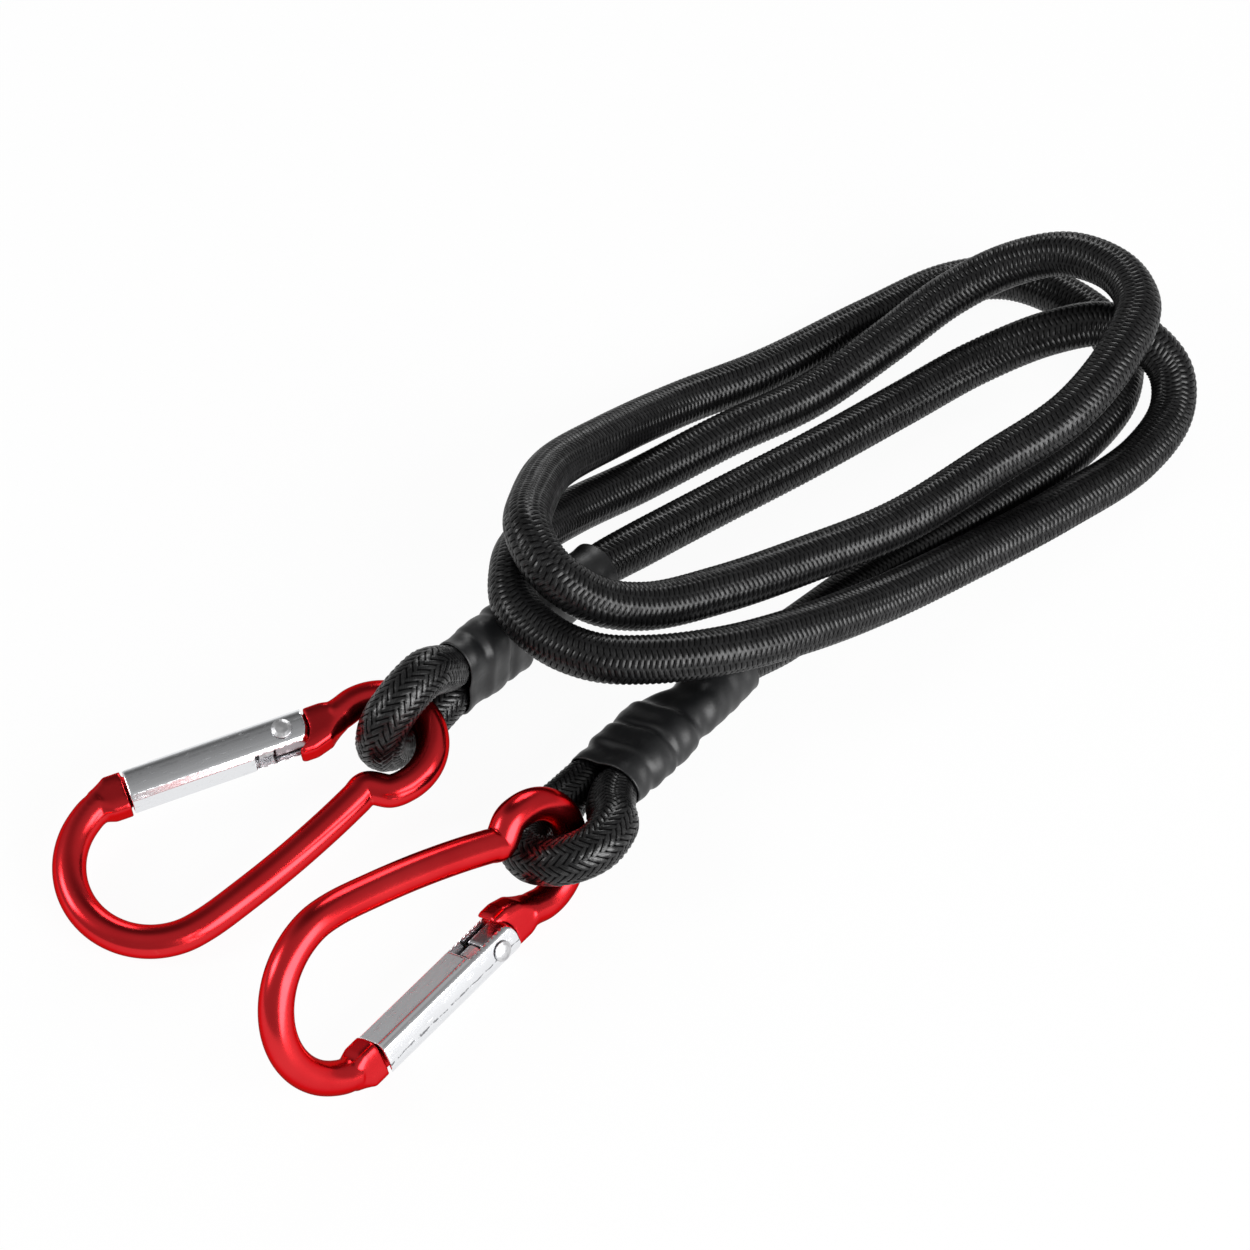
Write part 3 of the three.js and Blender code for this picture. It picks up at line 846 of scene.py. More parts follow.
def melt_together(
    name: str, meshes: Sequence[bpy.types.Mesh], grain: float, easing: int
) -> bpy.types.Object:
    """Joins closed meshes into one finely meshed skin with eased edges.

    Args:
        name: The new piece's name.
        meshes: Closed meshes in metres, which may overlap.
        grain: Size of the new faces, in millimetres.
        easing: Passes of smoothing.

    Returns:
        The piece, in the scene.
    """
    points = []
    faces = []
    for mesh in meshes:
        start = len(points)
        points += [tuple(ENLARGED * c for c in v.co) for v in mesh.vertices]
        faces += [[start + v for v in polygon.vertices] for polygon in mesh.polygons]
    piece = new_piece(name, np.asarray(points), faces)
    remesh = piece.modifiers.new("skin", "REMESH")
    remesh.mode = "VOXEL"
    remesh.voxel_size = grain * MM * ENLARGED
    ease = piece.modifiers.new("ease", "SMOOTH")
    ease.factor = 0.5
    ease.iterations = easing
    skin = bpy.data.meshes.new_from_object(piece.evaluated_get(bpy.context.evaluated_depsgraph_get()))
    piece.modifiers.clear()
    skin.transform(Matrix.Scale(1.0 / ENLARGED, 4))
    skin.shade_smooth()
    skin.name = name
    piece.data = skin
    return piece


def local_points(mesh: bpy.types.Mesh, frame: Matrix) -> np.ndarray:
    """Reads a mesh's points in a frame of its own.

    Args:
        mesh: The mesh, in metres in the part's frame.
        frame: The frame, in millimetres.

    Returns:
        The points in that frame, in millimetres.
    """
    points = np.empty(3 * len(mesh.vertices))
    mesh.vertices.foreach_get("co", points)
    return (points.reshape(-1, 3) / MM - np.asarray(frame.translation)) @ np.asarray(frame.to_3x3())


def in_part(local: np.ndarray, frame: Matrix) -> np.ndarray:
    """Places points in the part.

    Args:
        local: Points in a frame of their own, in millimetres.
        frame: That frame, in millimetres.

    Returns:
        The points in the part's frame, in metres.
    """
    return (local @ np.asarray(frame.to_3x3()).T + np.asarray(frame.translation)) * MM


def place_points(mesh: bpy.types.Mesh, local: np.ndarray, frame: Matrix) -> None:
    """Puts points back into a mesh.

    Args:
        mesh: The mesh, in metres in the part's frame.
        local: Its points in the frame, in millimetres.
        frame: The frame, in millimetres.
    """
    mesh.vertices.foreach_set("co", in_part(local, frame).reshape(-1))
    mesh.update()


# Sub-assemblies


@dataclass
class Sleeve:
    """A shrunk sleeve over both strands of an end loop, in millimetres from its mouth."""

    end: End
    mouth: Point
    aim: Point
    turn: float  # degrees that the standing strand is turned up
    length: float
    exit_offset: float
    start: float = 1.6
    wall: float = 0.3
    room: float = 0.6  # between a strand and the sleeve
    snug: float = 2.95  # radius of a strand that the sleeve is drawn for, up to the tail's end
    crimps: Pair = (8.0, 13.5)
    crimp_length: float = 3.0
    crimp_margin: float = 0.4
    crimp_fade: float = 1.6
    crimp_rise: float = 0.9
    crimp_fill: float = 0.6  # of the waist between the strands
    tail_end: float = 16.5
    step_start: float = 0.8  # past the tail's end, where the low side draws in
    step_length: float = 4.2
    strand_offset: float = 2.8
    mouth_offset: float = 3.2
    mouth_radius: float = 3.5
    crimped_radius: float = 2.45
    shrunk_radius: float = 3.6
    squareness: float = 3.0  # of the flat sides between the strands
    waist_width: float = 1.6
    waist_depth: float = 0.1
    lip: float = 0.2  # how far its rounded ends stand out
    ripples: tuple[tuple[float, float, float, float], ...] = (
        # height, radians to a millimetre along, waves round, start
        (0.05, 1.9, 2.0, 0.0),
        (0.04, 0.83, -3.0, 1.0),
    )
    sides: int = 56
    rings: int = 150
    eased_rings: int = 9  # neighbours that are averaged along the sleeve

    def frame(self) -> Matrix:
        """Sets up the sleeve's frame.

        Returns:
            The frame, with x to the standing strand and z from the mouth to the far end.
        """
        start = Vector(self.mouth)
        along = (Vector(self.aim) - start).normalized()
        right = along.cross(Vector((0, 0, 1))).normalized()
        standing = Matrix.Rotation(-math.radians(self.turn), 3, along) @ right
        across = along.cross(standing)
        basis = Matrix((standing, across, along)).transposed().to_4x4()
        return Matrix.Translation(start) @ basis

    def stations(self, strand: Strand) -> list[Point]:
        """Lists a strand's stations.

        Args:
            strand: Which strand.

        Returns:
            Distance from the mouth, offset from the axis and radius of each.
        """
        rows = [
            (0.5, self.mouth_offset, self.mouth_radius),
            (3.0, self.strand_offset + 0.25, self.crimped_radius + 0.2),
            (5.5, self.strand_offset, self.crimped_radius),
            (11.0, self.strand_offset, self.crimped_radius),
            (self.tail_end, self.strand_offset, self.crimped_radius),
        ]
        if strand is Strand.STANDING:
            rows += [
                (self.tail_end + 5, 1.9 + 0.6 * self.exit_offset, 3.0),
                (self.tail_end + 10, 0.3 + self.exit_offset, self.shrunk_radius),
                (self.length + 1, self.exit_offset, self.shrunk_radius),
            ]
        return rows

    def strand_route(self, strand: Strand) -> list[tuple[Point, float]]:
        """Places a strand's stations in the part's frame.

        Args:
            strand: Which strand.

        Returns:
            Points and radii from the mouth inward, in millimetres.
        """
        frame = self.frame()
        side = strand.value
        return [(tuple(frame @ Vector((side * off, 0, far))), r) for far, off, r in self.stations(strand)]

    def _profile(self, far: np.ndarray) -> tuple[np.ndarray, np.ndarray, np.ndarray, np.ndarray]:
        """Works out the sleeve's outside along its length.

        Args:
            far: Distances from the mouth.

        Returns:
            High side, low side, half height and how far the waist between the strands shows,
            at each distance.
        """
        standing = np.asarray(self.stations(Strand.STANDING))
        tail = np.asarray(self.stations(Strand.TAIL))
        offset = np.interp(far, standing[:, 0], standing[:, 1])
        tail_offset = np.interp(far, tail[:, 0], tail[:, 1])
        radius = np.interp(far, standing[:, 0], standing[:, 2])
        radius = np.where(far < self.tail_end, np.minimum(radius, self.snug), radius)
        radius = np.where(far < self.crimps[0], np.maximum(radius, self.snug), radius)
        over = np.zeros_like(far)
        for crimp in self.crimps:
            outside = np.abs(far - crimp) - (self.crimp_length / 2 + self.crimp_margin)
            over = np.maximum(over, np.clip(1.0 - outside / self.crimp_fade, 0.0, 1.0))
        over = eased(over)
        skin = self.room + self.wall
        half = np.maximum(radius + skin, self.crimped_radius + skin + self.crimp_rise * over)
        past = eased(np.clip((far - self.tail_end - self.step_start) / self.step_length, 0.0, 1.0))
        alone = self.exit_offset - self.shrunk_radius - skin
        low = -(tail_offset + half) * (1.0 - past) + alone * past
        return offset + half, low, half, (1.0 - past) * (1.0 - self.crimp_fill * over)

    def _ring(self, row: Sequence[float], inset: float) -> np.ndarray:
        """Draws the section at one distance.

        Args:
            row: Distance from the mouth, then the high side, low side, half height and waist there.
            inset: How far inside the outer skin.

        Returns:
            The section's points in the sleeve's frame.
        """
        far, high, low, half, waist = row
        angle = 2.0 * math.pi * np.arange(self.sides) / self.sides
        centre = (high + low) / 2.0
        width = (high - low) / 2.0 - inset
        half = half - inset
        straight = np.tanh(self.squareness * np.cos(angle)) * max(width - half, 0.0)
        x = centre + straight + half * np.cos(angle)
        middle = np.exp(-(((x - centre) / self.waist_width) ** 2))
        y = half * np.sin(angle) * (1.0 - self.waist_depth * waist * middle)
        grow = np.ones(self.sides)
        if inset == 0.0:
            ripple = sum(
                size * np.sin(wave * far + turns * angle + at) for size, wave, turns, at in self.ripples
            )
            grow += ripple / max(half, 1.0)
        return np.stack([(x - centre) * grow + centre, y * grow, np.full(self.sides, far)], 1)

    def build(self) -> bpy.types.Object:
        """Builds the sleeve as a thin closed shell that hugs both strands.

        Returns:
            The piece.
        """
        far = np.linspace(self.start, self.length, self.rings)
        kernel = np.hanning(self.eased_rings) / np.hanning(self.eased_rings).sum()
        padded = [np.pad(row, self.eased_rings // 2, mode="edge") for row in self._profile(far)]
        rows = list(zip(far, *(np.convolve(row, kernel, mode="valid") for row in padded)))
        lip = np.asarray((0.0, 0.0, self.lip))
        rings = [
            *(self._ring(row, 0.0) for row in rows),
            self._ring(rows[-1], self.wall * 0.5) + lip,
            *(self._ring(row, self.wall) for row in reversed(rows)),
            self._ring(rows[0], self.wall * 0.5) - lip,
        ]
        faces = ring_faces(len(rings), self.sides)
        back = (len(rings) - 1) * self.sides
        after = [*range(1, self.sides), 0]
        faces += [(back + side, back + late, late, side) for side, late in enumerate(after)]
        return new_piece(f"shrunk_sleeve_{self.end.value}", in_part(np.vstack(rings), self.frame()), faces)


@dataclass
class CordCover:
    """The braided cord, from its tail in one sleeve to its tail in the other, in millimetres."""

    LAY: ClassVar[str] = "lay"
    SLANT: ClassVar[str] = "slant"

    sleeve_a: Sleeve
    sleeve_b: Sleeve
    radius: float = 3.75
    rib_pitch: float = 0.86
    loop_pitch: float = 1.0
    rib_lean: float = 0.42
    loop_lean: float = 1.3
    turn_length: float = 520.0  # of cord, for one turn of the rows round it
    rings_per_rib: int = 4
    sides: int = 70
    rows: int = 14
    relief: float = 0.25
    loop_relief: float = 0.36
    lift: float = 0.02  # least height over the ground
    route_steps: int = 40
    declared_steps: int = 3
    open_stations: int = 2  # a loop's lay stays open to about this station in its sleeve
    fade: int = 3  # points of the route over which it closes
    loop_a: tuple[Point, ...] = (
        (-35, -15.2, 5), (-38.2, -18.4, 4.1), (-40.9, -22.3, 5.9), (-42, -24.8, 9.9),
        (-41.1, -24.6, 14.3), (-38.2, -21.6, 17.4), (-35.3, -17.7, 17.5), (-33.7, -15, 15.1),
    )
    hank: tuple[Point, ...] = (
        # first run, inside the hank, then up over the fifth bend
        (-3, 20, 4), (10, 30, 3), (24.5, 40, 3), (40, 51, 3.5), (52.5, 58, 6), (64.5, 60.5, 10.5),
        (73.5, 61, 12),
        # first bend, outermost on the right
        (79.5, 58, 11.5), (84, 54, 8), (84, 48.5, 4.5), (78, 39.5, 3),
        # second run, nearest the front, over the sixth run and both sleeves
        (64, 27.5, 3.8), (49, 16, 5.5), (34, 4.5, 8.3), (21, -5.5, 13), (9, -12, 16), (-2, -14.5, 17),
        # second bend, on the left
        (-10, -14.5, 17.6), (-17, -11, 17.8), (-22, -5, 18.5), (-22.5, 2, 18.4), (-20.5, 13.5, 12.4),
        # third run
        (-14, 24.5, 6.5), (-3, 34.5, 3.2), (11, 44.5, 3), (25, 53, 3.4), (37.5, 61.5, 7), (48.5, 68, 12),
        # third bend, on top of everything on the right
        (58.5, 71, 16), (67.5, 70, 19.2), (75, 64.5, 20.4), (77.5, 56.5, 20.6), (74, 47.5, 19.6),
        # fourth run
        (65.5, 37, 16.5), (52.5, 29, 12.6), (37.5, 18, 11.4), (23, 9.5, 12.4), (9, 1, 15),
        (-2.5, -4.5, 17.5),
        # fourth bend, on top on the left
        (-10.5, -6, 21), (-17, -3.5, 25.2), (-20, 2.5, 26.5), (-19.5, 13.5, 22), (-16.5, 25.5, 16),
        # fifth run, farthest back
        (-8.5, 37, 10.4), (3.5, 50, 4.6), (18.5, 59.5, 3), (35.5, 71, 3), (49.5, 79.5, 3), (59.5, 81, 3),
        (68, 77, 3),
        # fifth bend, under the others on the right
        (75, 69.5, 3), (77, 61, 3), (75, 52, 3),
        # sixth run, under the second
        (66.5, 40.5, 3), (52.5, 28.5, 3), (33, 13.6, 3), (18.5, 0, 4),
    )
    loop_b: tuple[Point, ...] = (
        (-7.6, -36.6, 9), (-7.2, -40.8, 10.8), (-9.7, -45.2, 11.4), (-14.2, -47, 10.8),
        (-18.8, -45.6, 9.3), (-20.5, -41.5, 7.5), (-19.1, -36.9, 6.2), (-15.6, -33.6, 5.8),
    )

    def route(self) -> list[tuple[Point, float]]:
        """Lists the cord's points from tail to tail.

        Returns:
            Points and radii, in millimetres.
        """
        return [
            *reversed(self.sleeve_a.strand_route(Strand.TAIL)),
            *((point, self.radius) for point in self.loop_a),
            *self.sleeve_a.strand_route(Strand.STANDING),
            *((point, self.radius) for point in self.hank),
            *reversed(self.sleeve_b.strand_route(Strand.STANDING)),
            *((point, self.radius) for point in self.loop_b),
            *self.sleeve_b.strand_route(Strand.TAIL),
        ]

    def _rings(self) -> tuple[np.ndarray, np.ndarray, np.ndarray, np.ndarray]:
        """Spaces rings along the route, so many to a rib.

        Returns:
            The rings' centres, radii, counts of ribs so far, and how much the loops' open lay shows.
        """
        route = self.route()
        path = smooth_curve([point for point, _ in route], self.route_steps)
        place = np.arange(len(path)) / self.route_steps
        radii = np.interp(place, np.arange(len(route)), [r for _, r in route])
        lengths = np.linalg.norm(np.diff(path, axis=0), axis=1)
        first = len(self.sleeve_a.stations(Strand.TAIL)) + len(self.loop_a) + self.open_stations
        second = len(route) - first
        closing = np.clip((first + self.fade - place) / self.fade, 0, 1)
        opened = closing + np.clip((place - second + self.fade) / self.fade, 0, 1)
        pitch = self.rib_pitch + (self.loop_pitch - self.rib_pitch) * opened
        ribs = np.concatenate([[0.0], np.cumsum(lengths / pitch[1:])])
        even = np.arange(0.0, ribs[-1], 1.0 / self.rings_per_rib)
        centres = np.stack([np.interp(even, ribs, path[:, k]) for k in range(3)], 1)
        return centres, np.interp(even, ribs, radii), even, np.interp(even, ribs, opened)

    def build(self) -> bpy.types.Object:
        """Builds the cord with its braid standing out of the surface.

        Returns:
            The piece.
        """
        centres, radii, ribs, opened = self._rings()
        lean = self.rib_lean + (self.loop_lean - self.rib_lean) * opened
        travelled = np.concatenate([[0.0], np.cumsum(np.linalg.norm(np.diff(centres, axis=0), axis=1))])
        turn = np.arange(self.sides) / self.sides
        row = (turn * self.rows)[None, :]
        edge = np.floor(row + 0.5)
        rows = (edge - 1.0, edge)
        stand = np.maximum(*(yarn_float(ribs[:, None], row, lean[:, None], which)[0] for which in rows))
        relief = self.relief + (self.loop_relief - self.relief) * opened
        reach = radii[:, None] - relief[:, None] * (1.0 - np.maximum(stand, 0.0))
        angle = 2.0 * math.pi * (turn[None, :] + travelled[:, None] / self.turn_length)
        points = sweep(centres, reach, angle)
        points[..., 2] = np.maximum(points[..., 2], self.lift)
        piece = new_piece("braided_cord", points.reshape(-1, 3) * MM, tube_faces(len(centres), self.sides))
        self._write_lay(piece.data, ribs, lean)
        path = smooth_curve([point for point, _ in self.route()], self.declared_steps) * MM
        return piece

    def _write_lay(self, mesh: bpy.types.Mesh, ribs: np.ndarray, lean: np.ndarray) -> None:
        """Writes ribs along and rows round to one UV map and the yarns' lean to another.

        Args:
            mesh: The cord's mesh.
            ribs: The count of ribs at each ring.
            lean: How far yarns lean at each ring.
        """
        ring = np.arange(len(ribs) - 1)[:, None, None] + np.asarray([0, 0, 1, 1])[None, None, :]
        side = np.arange(self.sides)[None, :, None] + np.asarray([0, 1, 1, 0])[None, None, :]
        shape = np.broadcast_shapes(ring.shape, side.shape)
        ends = np.zeros(4 * self.sides)  # two numbers for each corner of both closed ends
        rows = side * (self.rows / self.sides)
        for name, along, across in ((self.LAY, ribs[ring], rows), (self.SLANT, lean[ring], np.zeros(1))):
            pair = np.stack([np.broadcast_to(along, shape), np.broadcast_to(across, shape)], -1)
            layer = mesh.uv_layers.new(name=name)
            layer.data.foreach_set("uv", np.concatenate([pair.reshape(-1), ends]).astype(np.float32))


@dataclass
class SnapHook:
    """A pear-shaped snap hook; x runs along the spine and y towards the gate, in millimetres."""

    end: End
    place: Point
    yaw: float  # degrees, as the next two
    pitch: float
    roll: float
    scuffed: float
    rod_radius: float = 2.5
    bend_radius: float = 12.6
    bend_angles: Pair = (105, 270)
    bend_points: int = 10
    spine_length: float = 31.4
    spine_rise: float = 3.1
    spine_shares: tuple[float, ...] = (0.25, 0.5, 0.75, 0.93, 1)
    eye: Pair = (37.2, -4.9)
    eye_radius: float = 7.9
    eye_angles: Pair = (246, 460)
    eye_points: int = 14
    rivet: Pair = (26.5, 4.85)
    gate_tilt: float = -0.292  # radians
    nose_neck: Pair = (-28.6, -0.65)  # along the gate from the rivet, and out
    hinge_neck: Pair = (8.0, 0.4)
    gate_height: float = 5.8
    gate_thickness: float = 5.6
    gate_bulge: float = 0.2
    gate_edge: float = 0.8  # over which the bulge starts
    scuff_offset: float = 0.6
    rod_steps: int = 14
    rod_sides: int = 48
    rod_band: float = 0.2  # a skin point this near the rod's round is set on it
    least_reach: float = 0.1  # from the middle line, so that nothing is divided by nought
    body_skin: tuple[float, int] = (0.18, 12)  # size of the faces and passes of easing
    gate_skin: tuple[float, int] = (0.13, 12)
    rivet_skin: tuple[float, int] = (0.07, 8)

    def frame(self) -> Matrix:
        """Sets up the hook's frame.

        Returns:
            The frame in the part, in millimetres.
        """
        turns = [
            Matrix.Rotation(math.radians(self.yaw), 4, "Z"),
            Matrix.Rotation(-math.radians(self.pitch), 4, "Y"),
            Matrix.Rotation(math.radians(self.roll), 4, "X"),
        ]
        return Matrix.Translation(self.place) @ turns[0] @ turns[1] @ turns[2]

    def _on_gate(self, along: float, out: float) -> Point:
        """Places a point by the gate.

        Args:
            along: How far from the rivet along the gate's middle line, towards the eye.
            out: How far outward from that line.

        Returns:
            The point in the hook's frame.
        """
        x, y = self.rivet
        cosine, sine = math.cos(self.gate_tilt), math.sin(self.gate_tilt)
        return (x + along * cosine - out * sine, y + along * sine + out * cosine, 0.0)

    @staticmethod
    def _arc(centre: Pair, radius: float, angles: Pair, count: int) -> list[Point]:
        """Places points on an arc.

        Args:
            centre: The arc's centre.
            radius: Its radius.
            angles: Its first and last angle, in degrees.
            count: How many points.

        Returns:
            The points.
        """
        x, y = centre
        turns = np.radians(np.linspace(*angles, count))
        return [(x + radius * math.cos(turn), y + radius * math.sin(turn), 0.0) for turn in turns]

    def _line(self) -> np.ndarray:
        """Runs the rod's middle line from the nose block round the bend, spine and eye to the hinge block.

        Returns:
            Its points in the hook's frame.
        """
        spine = [
            (self.spine_length * share, -self.bend_radius + self.spine_rise * share * share, 0.0)
            for share in self.spine_shares
        ]
        return smooth_curve(
            [
                self._on_gate(*self.nose_neck),
                *self._arc((0.0, 0.0), self.bend_radius, self.bend_angles, self.bend_points),
                *spine,
                *self._arc(self.eye, self.eye_radius, self.eye_angles, self.eye_points),
                self._on_gate(*self.hinge_neck),
            ],
            self.rod_steps,
        )

    def _rod(self, line: np.ndarray) -> bpy.types.Object:
        """Sweeps the bent rod along its middle line.

        Args:
            line: The middle line's points in the hook's frame.

        Returns:
            A closed tube.
        """
        angle = 2.0 * math.pi * np.arange(self.rod_sides) / self.rod_sides
        points = sweep(line, self.rod_radius, angle[None, :]).reshape(-1, 3)
        return new_piece("rod_blank", in_part(points, self.frame()), tube_faces(len(line), self.rod_sides))

    def build(self, nodes: dict[str, bpy.types.Object], finishes: dict[str, bpy.types.Material]) -> None:
        """Builds the hook's body, gate, rivet and spring over their solids and dresses them.

        Args:
            nodes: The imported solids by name.
            finishes: The shared materials by name.
        """
        name = self.end.value
        line = self._line()
        rod = self._rod(line)
        solid = f"carabiner_body_{name}"
        body = melt_together(f"hook_body_{name}", [rod.data, nodes[solid].data], *self.body_skin)
        bpy.data.objects.remove(rod)
        self._true_up(body.data, line)
        settle(body, f"carabiner_{name}", solid, self._body_finish().material())
        gate = melt_together(f"gate_bar_{name}", [nodes[f"gate_{name}"].data], *self.gate_skin)
        self._crown_walls(gate.data)
        settle(gate, f"gate_{name}", f"gate_{name}", self._gate_finish().material())
        rivet = melt_together(f"rivet_pin_{name}", [nodes[f"rivet_{name}"].data], *self.rivet_skin)
        settle(rivet, f"gate_{name}", f"rivet_{name}", finishes["rivet"])
        dress(nodes[f"plunger_{name}"], finishes["spring"])
        self._coil(nodes[f"gate_spring_{name}"], finishes["spring"])

    def _coil(self, solid: bpy.types.Object, finish: bpy.types.Material) -> None:
        """Makes the gate's spring from a smooth-shaded copy of its solid.

        Args:
            solid: The spring's solid.
            finish: Its material.
        """
        name = self.end.value
        coil = bpy.data.objects.new(f"spring_coil_{name}", solid.data.copy())
        bpy.context.scene.collection.objects.link(coil)
        dress(coil, finish)
        coil.data.shade_smooth()
        lying = self._gate_frame()
        along = local_points(coil.data, lying)[:, 0]
        seat, push = ((lying @ Vector((x, 0.0, 0.0))) * MM for x in (along.min(), along.max()))
        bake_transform(coil)
        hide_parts(solid.name)
        LOG.info("%s: %d faces", coil.name, len(coil.data.polygons))

    def _true_up(self, mesh: bpy.types.Mesh, line: np.ndarray) -> None:
        """Sets the skin exactly on the round rod, away from the pressed blocks.

        Args:
            mesh: The body's mesh, in the part's frame.
            line: The rod's middle line in the hook's frame.
        """
        local = local_points(mesh, self.frame())
        tree = KDTree(len(line))
        for index, point in enumerate(line):
            tree.insert(point, index)
        tree.balance()
        nearest = np.asarray([tree.find(point)[1] for point in local])
        along = directions(line)[nearest]
        apart = local - line[nearest]
        across = apart - (apart * along).sum(1)[:, None] * along
        off = np.maximum(np.linalg.norm(across, axis=1), self.least_reach)
        from_ends = np.minimum(nearest, len(line) - 1 - nearest)
        share = np.clip(from_ends / self.rod_steps - 1.0, 0.0, 1.0)
        share *= np.clip(2.0 - np.abs(off - self.rod_radius) / self.rod_band, 0.0, 1.0)
        local += (share * (self.rod_radius / off - 1.0))[:, None] * across
        place_points(mesh, local, self.frame())

    def _crown_walls(self, mesh: bpy.types.Mesh) -> None:
        """Crowns the gate's side walls slightly, as rolling leaves them.

        Args:
            mesh: The gate's mesh, in the part's frame.
        """
        local = local_points(mesh, self._gate_frame())
        inside = (self.gate_thickness - 2.0 * np.abs(local[:, 2])) / self.gate_edge
        wall = np.clip(1.0 - inside, 0.0, 1.0)
        crown = np.clip(1.0 - (2.0 * local[:, 1] / self.gate_height) ** 2, 0.0, 1.0)
        local[:, 2] += np.sign(local[:, 2]) * self.gate_bulge * wall * crown
        place_points(mesh, local, self._gate_frame())

    def _gate_frame(self) -> Matrix:
        """Returns the gate's frame in the part, in millimetres from its rivet."""
        tilt = Matrix.Rotation(self.gate_tilt, 4, "Z")
        return self.frame() @ Matrix.Translation((*self.rivet, 0.0)) @ tilt

    def _body_finish(self) -> AnodisedFinish:
        """Returns the body's finish, with the tongue at the rivet milled bare."""
        rivet = tuple(self._gate_frame().translation * MM)
        return AnodisedFinish(f"red_anodised_{self.end.value}", rivet=rivet)

    def _gate_finish(self) -> GateFinish:
        """Chooses the gate's finish.

        Returns:
            The finish, drawn along the gate as it lies in the part.
        """
        lying = self._gate_frame()
        across = lying.col[1].to_3d()
        return GateFinish(
            f"drawn_aluminium_{self.end.value}",
            along=tuple(lying.col[0].to_3d()),
            across=tuple(across),
            scuff=float(across.dot(lying.translation) + self.scuff_offset) * MM,
            scuffed=self.scuffed,
        )


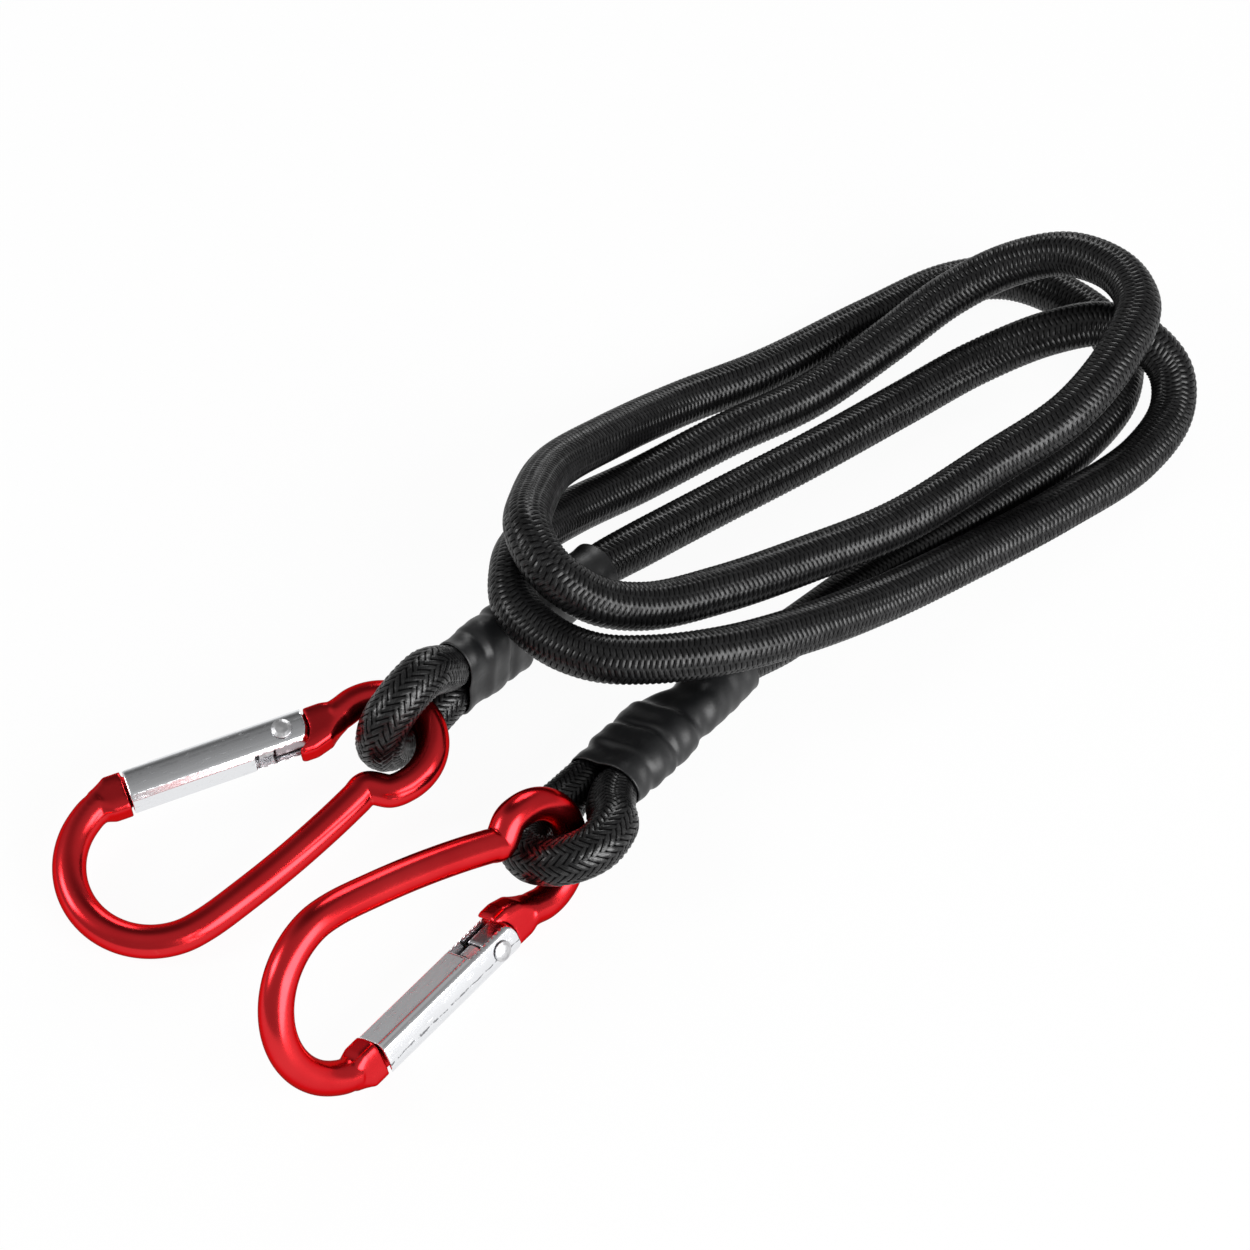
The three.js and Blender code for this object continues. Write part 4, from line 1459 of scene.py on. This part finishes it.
@dataclass
class Studio:
    """White floor, graded sky, soft lamps and the photograph's camera, in metres."""

    camera_place: Point = (-0.0055, -0.34682, 0.42106)
    camera_tilt: float = 40.0
    lens: float = 100.8
    sensor: float = 36.0
    clip_start: float = 0.01
    floor_half: float = 3.0
    ambient: float = 0.22
    dark_cap: Point = (0.0, 0.67, 0.743)  # the way to the darkest sky
    sky: tuple[Pair, ...] = (
        # nearness to the dark cap and grey there
        (0.0, 0.42),
        (0.5, 0.5),
        (0.75, 0.45),
        (0.9, 0.18),
        (0.98, 0.08),
    )
    lamps: tuple[tuple[str, Point, float, float], ...] = (
        # name, place, side and watts
        ("key_lamp", (0.7, -0.68, 0.36), 0.9, 20.0),
        ("side_lamp", (-0.75, -0.1, 0.5), 0.3, 3.0),
        ("back_lamp", (0.1, 0.85, 0.5), 0.4, 2.5),
    )

    def build(self) -> None:
        """Builds the floor, the world, the lamps and the camera."""
        bpy.context.scene.view_settings.view_transform = "Standard"
        self._floor()
        self._world()
        for name, place, size, power in self.lamps:
            self._lamp(name, Vector(place), size, power)
        self._camera()

    def _floor(self) -> None:
        """Lays the white floor that the part stands on."""
        signs = np.asarray([(-1.0, -1.0, 0.0), (1.0, -1.0, 0.0), (1.0, 1.0, 0.0), (-1.0, 1.0, 0.0)])
        floor = new_piece("studio_floor", self.floor_half * signs, [(0, 1, 2, 3)])
        dress(floor, FloorFinish("floor_white").material())

    def _world(self) -> None:
        """Makes the world white to the camera, graded to reflections and even to the rest."""
        world = bpy.data.worlds.new("studio")
        bpy.context.scene.world = world
        world.use_nodes = True
        bench = Bench(world.node_tree)
        direction = bench.node("ShaderNodeTexCoord", output="Generated")
        nearness = bench.dot(direction, self.dark_cap)
        stops = [(place, (grey, grey, grey, 1.0)) for place, grey in self.sky]
        graded = bench.node("ShaderNodeValToRGB", {"stops": stops}, {"Fac": nearness})
        camera = bench.node("ShaderNodeLightPath", output="Is Camera Ray")
        shown = bench.blend(camera, graded, WHITE)
        even = (self.ambient, self.ambient, self.ambient, 1.0)
        colour = bench.blend(seen_directly(bench), even, shown)
        light = bench.node("ShaderNodeBackground", None, {"Color": colour, "Strength": 1.0})
        bench.show("ShaderNodeOutputWorld", light)

    @staticmethod
    def _lamp(name: str, place: Vector, size: float, power: float) -> None:
        """Hangs a square soft lamp that faces the middle of the part.

        Args:
            name: The lamp's name.
            place: Where it hangs.
            size: Its side.
            power: Its power in watts.
        """
        data = bpy.data.lights.new(name, "AREA")
        data.size = size
        data.energy = power
        lamp = bpy.data.objects.new(name, data)
        lamp.location = place
        lamp.rotation_euler = (-place).to_track_quat("-Z", "Y").to_euler()
        bpy.context.scene.collection.objects.link(lamp)

    def _camera(self) -> None:
        """Stands the camera where the photograph was taken from."""
        data = bpy.data.cameras.new("photo_camera")
        data.lens = self.lens
        data.sensor_width = self.sensor
        data.clip_start = self.clip_start
        camera = bpy.data.objects.new("photo_camera", data)
        camera.location = self.camera_place
        camera.rotation_euler = (math.radians(self.camera_tilt), 0.0, 0.0)
        bpy.context.scene.collection.objects.link(camera)
        bpy.context.scene.camera = camera


def main() -> None:
    """Builds the studio, then the part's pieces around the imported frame."""
    logging.basicConfig(level=logging.INFO, format="%(name)s: %(message)s")
    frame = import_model()
    nodes = frame["nodes"]
    finishes = {
        "braid": BraidFinish("black_braid").material(),
        "sleeve": SleeveFinish("shrunk_plastic").material(),
        "rivet": SteelFinish("rivet_steel").material(),
        "spring": SteelFinish("spring_steel", rough=0.36).material(),
        "crimp": SteelFinish("crimp_metal", clean=(0.7, 0.7, 0.71, 1.0)).material(),
        "rubber": RubberFinish("core_rubber").material(),
    }
    Studio().build()
    sleeves = {
        End.A: Sleeve(
            End.A, mouth=(-32.5, -12.6, 8.9), aim=(-9.9, 14, 4.9), turn=90.0, length=35.0, exit_offset=0.0
        ),
        End.B: Sleeve(
            End.B, mouth=(-9.5, -30.2, 6.2), aim=(10.7, -5.3, 4.5), turn=24.0, length=32.0, exit_offset=1.2
        ),
    }
    cord = CordCover(sleeves[End.A], sleeves[End.B]).build()
    settle(cord, "cord", "cord_cover", finishes["braid"])
    for end, sleeve in sleeves.items():
        settle(sleeve.build(), "cord", f"end_sleeve_{end.value}", finishes["sleeve"])
        for number in (1, 2):
            dress(nodes[f"crimp_ring_{end.value}_{number}"], finishes["crimp"])
    dress(nodes["cord_core"], finishes["rubber"])
    hooks = (
        SnapHook(End.A, place=(-74.4, -43.4, 5.4), yaw=37.3, pitch=7.9, roll=10.0, scuffed=0.15),
        SnapHook(End.B, place=(-44.3, -72.8, 15.35), yaw=43.8, pitch=-15.4, roll=245.1, scuffed=0.8),
    )
    for hook in hooks:
        hook.build(nodes, finishes)


if __name__ == "__main__":
    main()
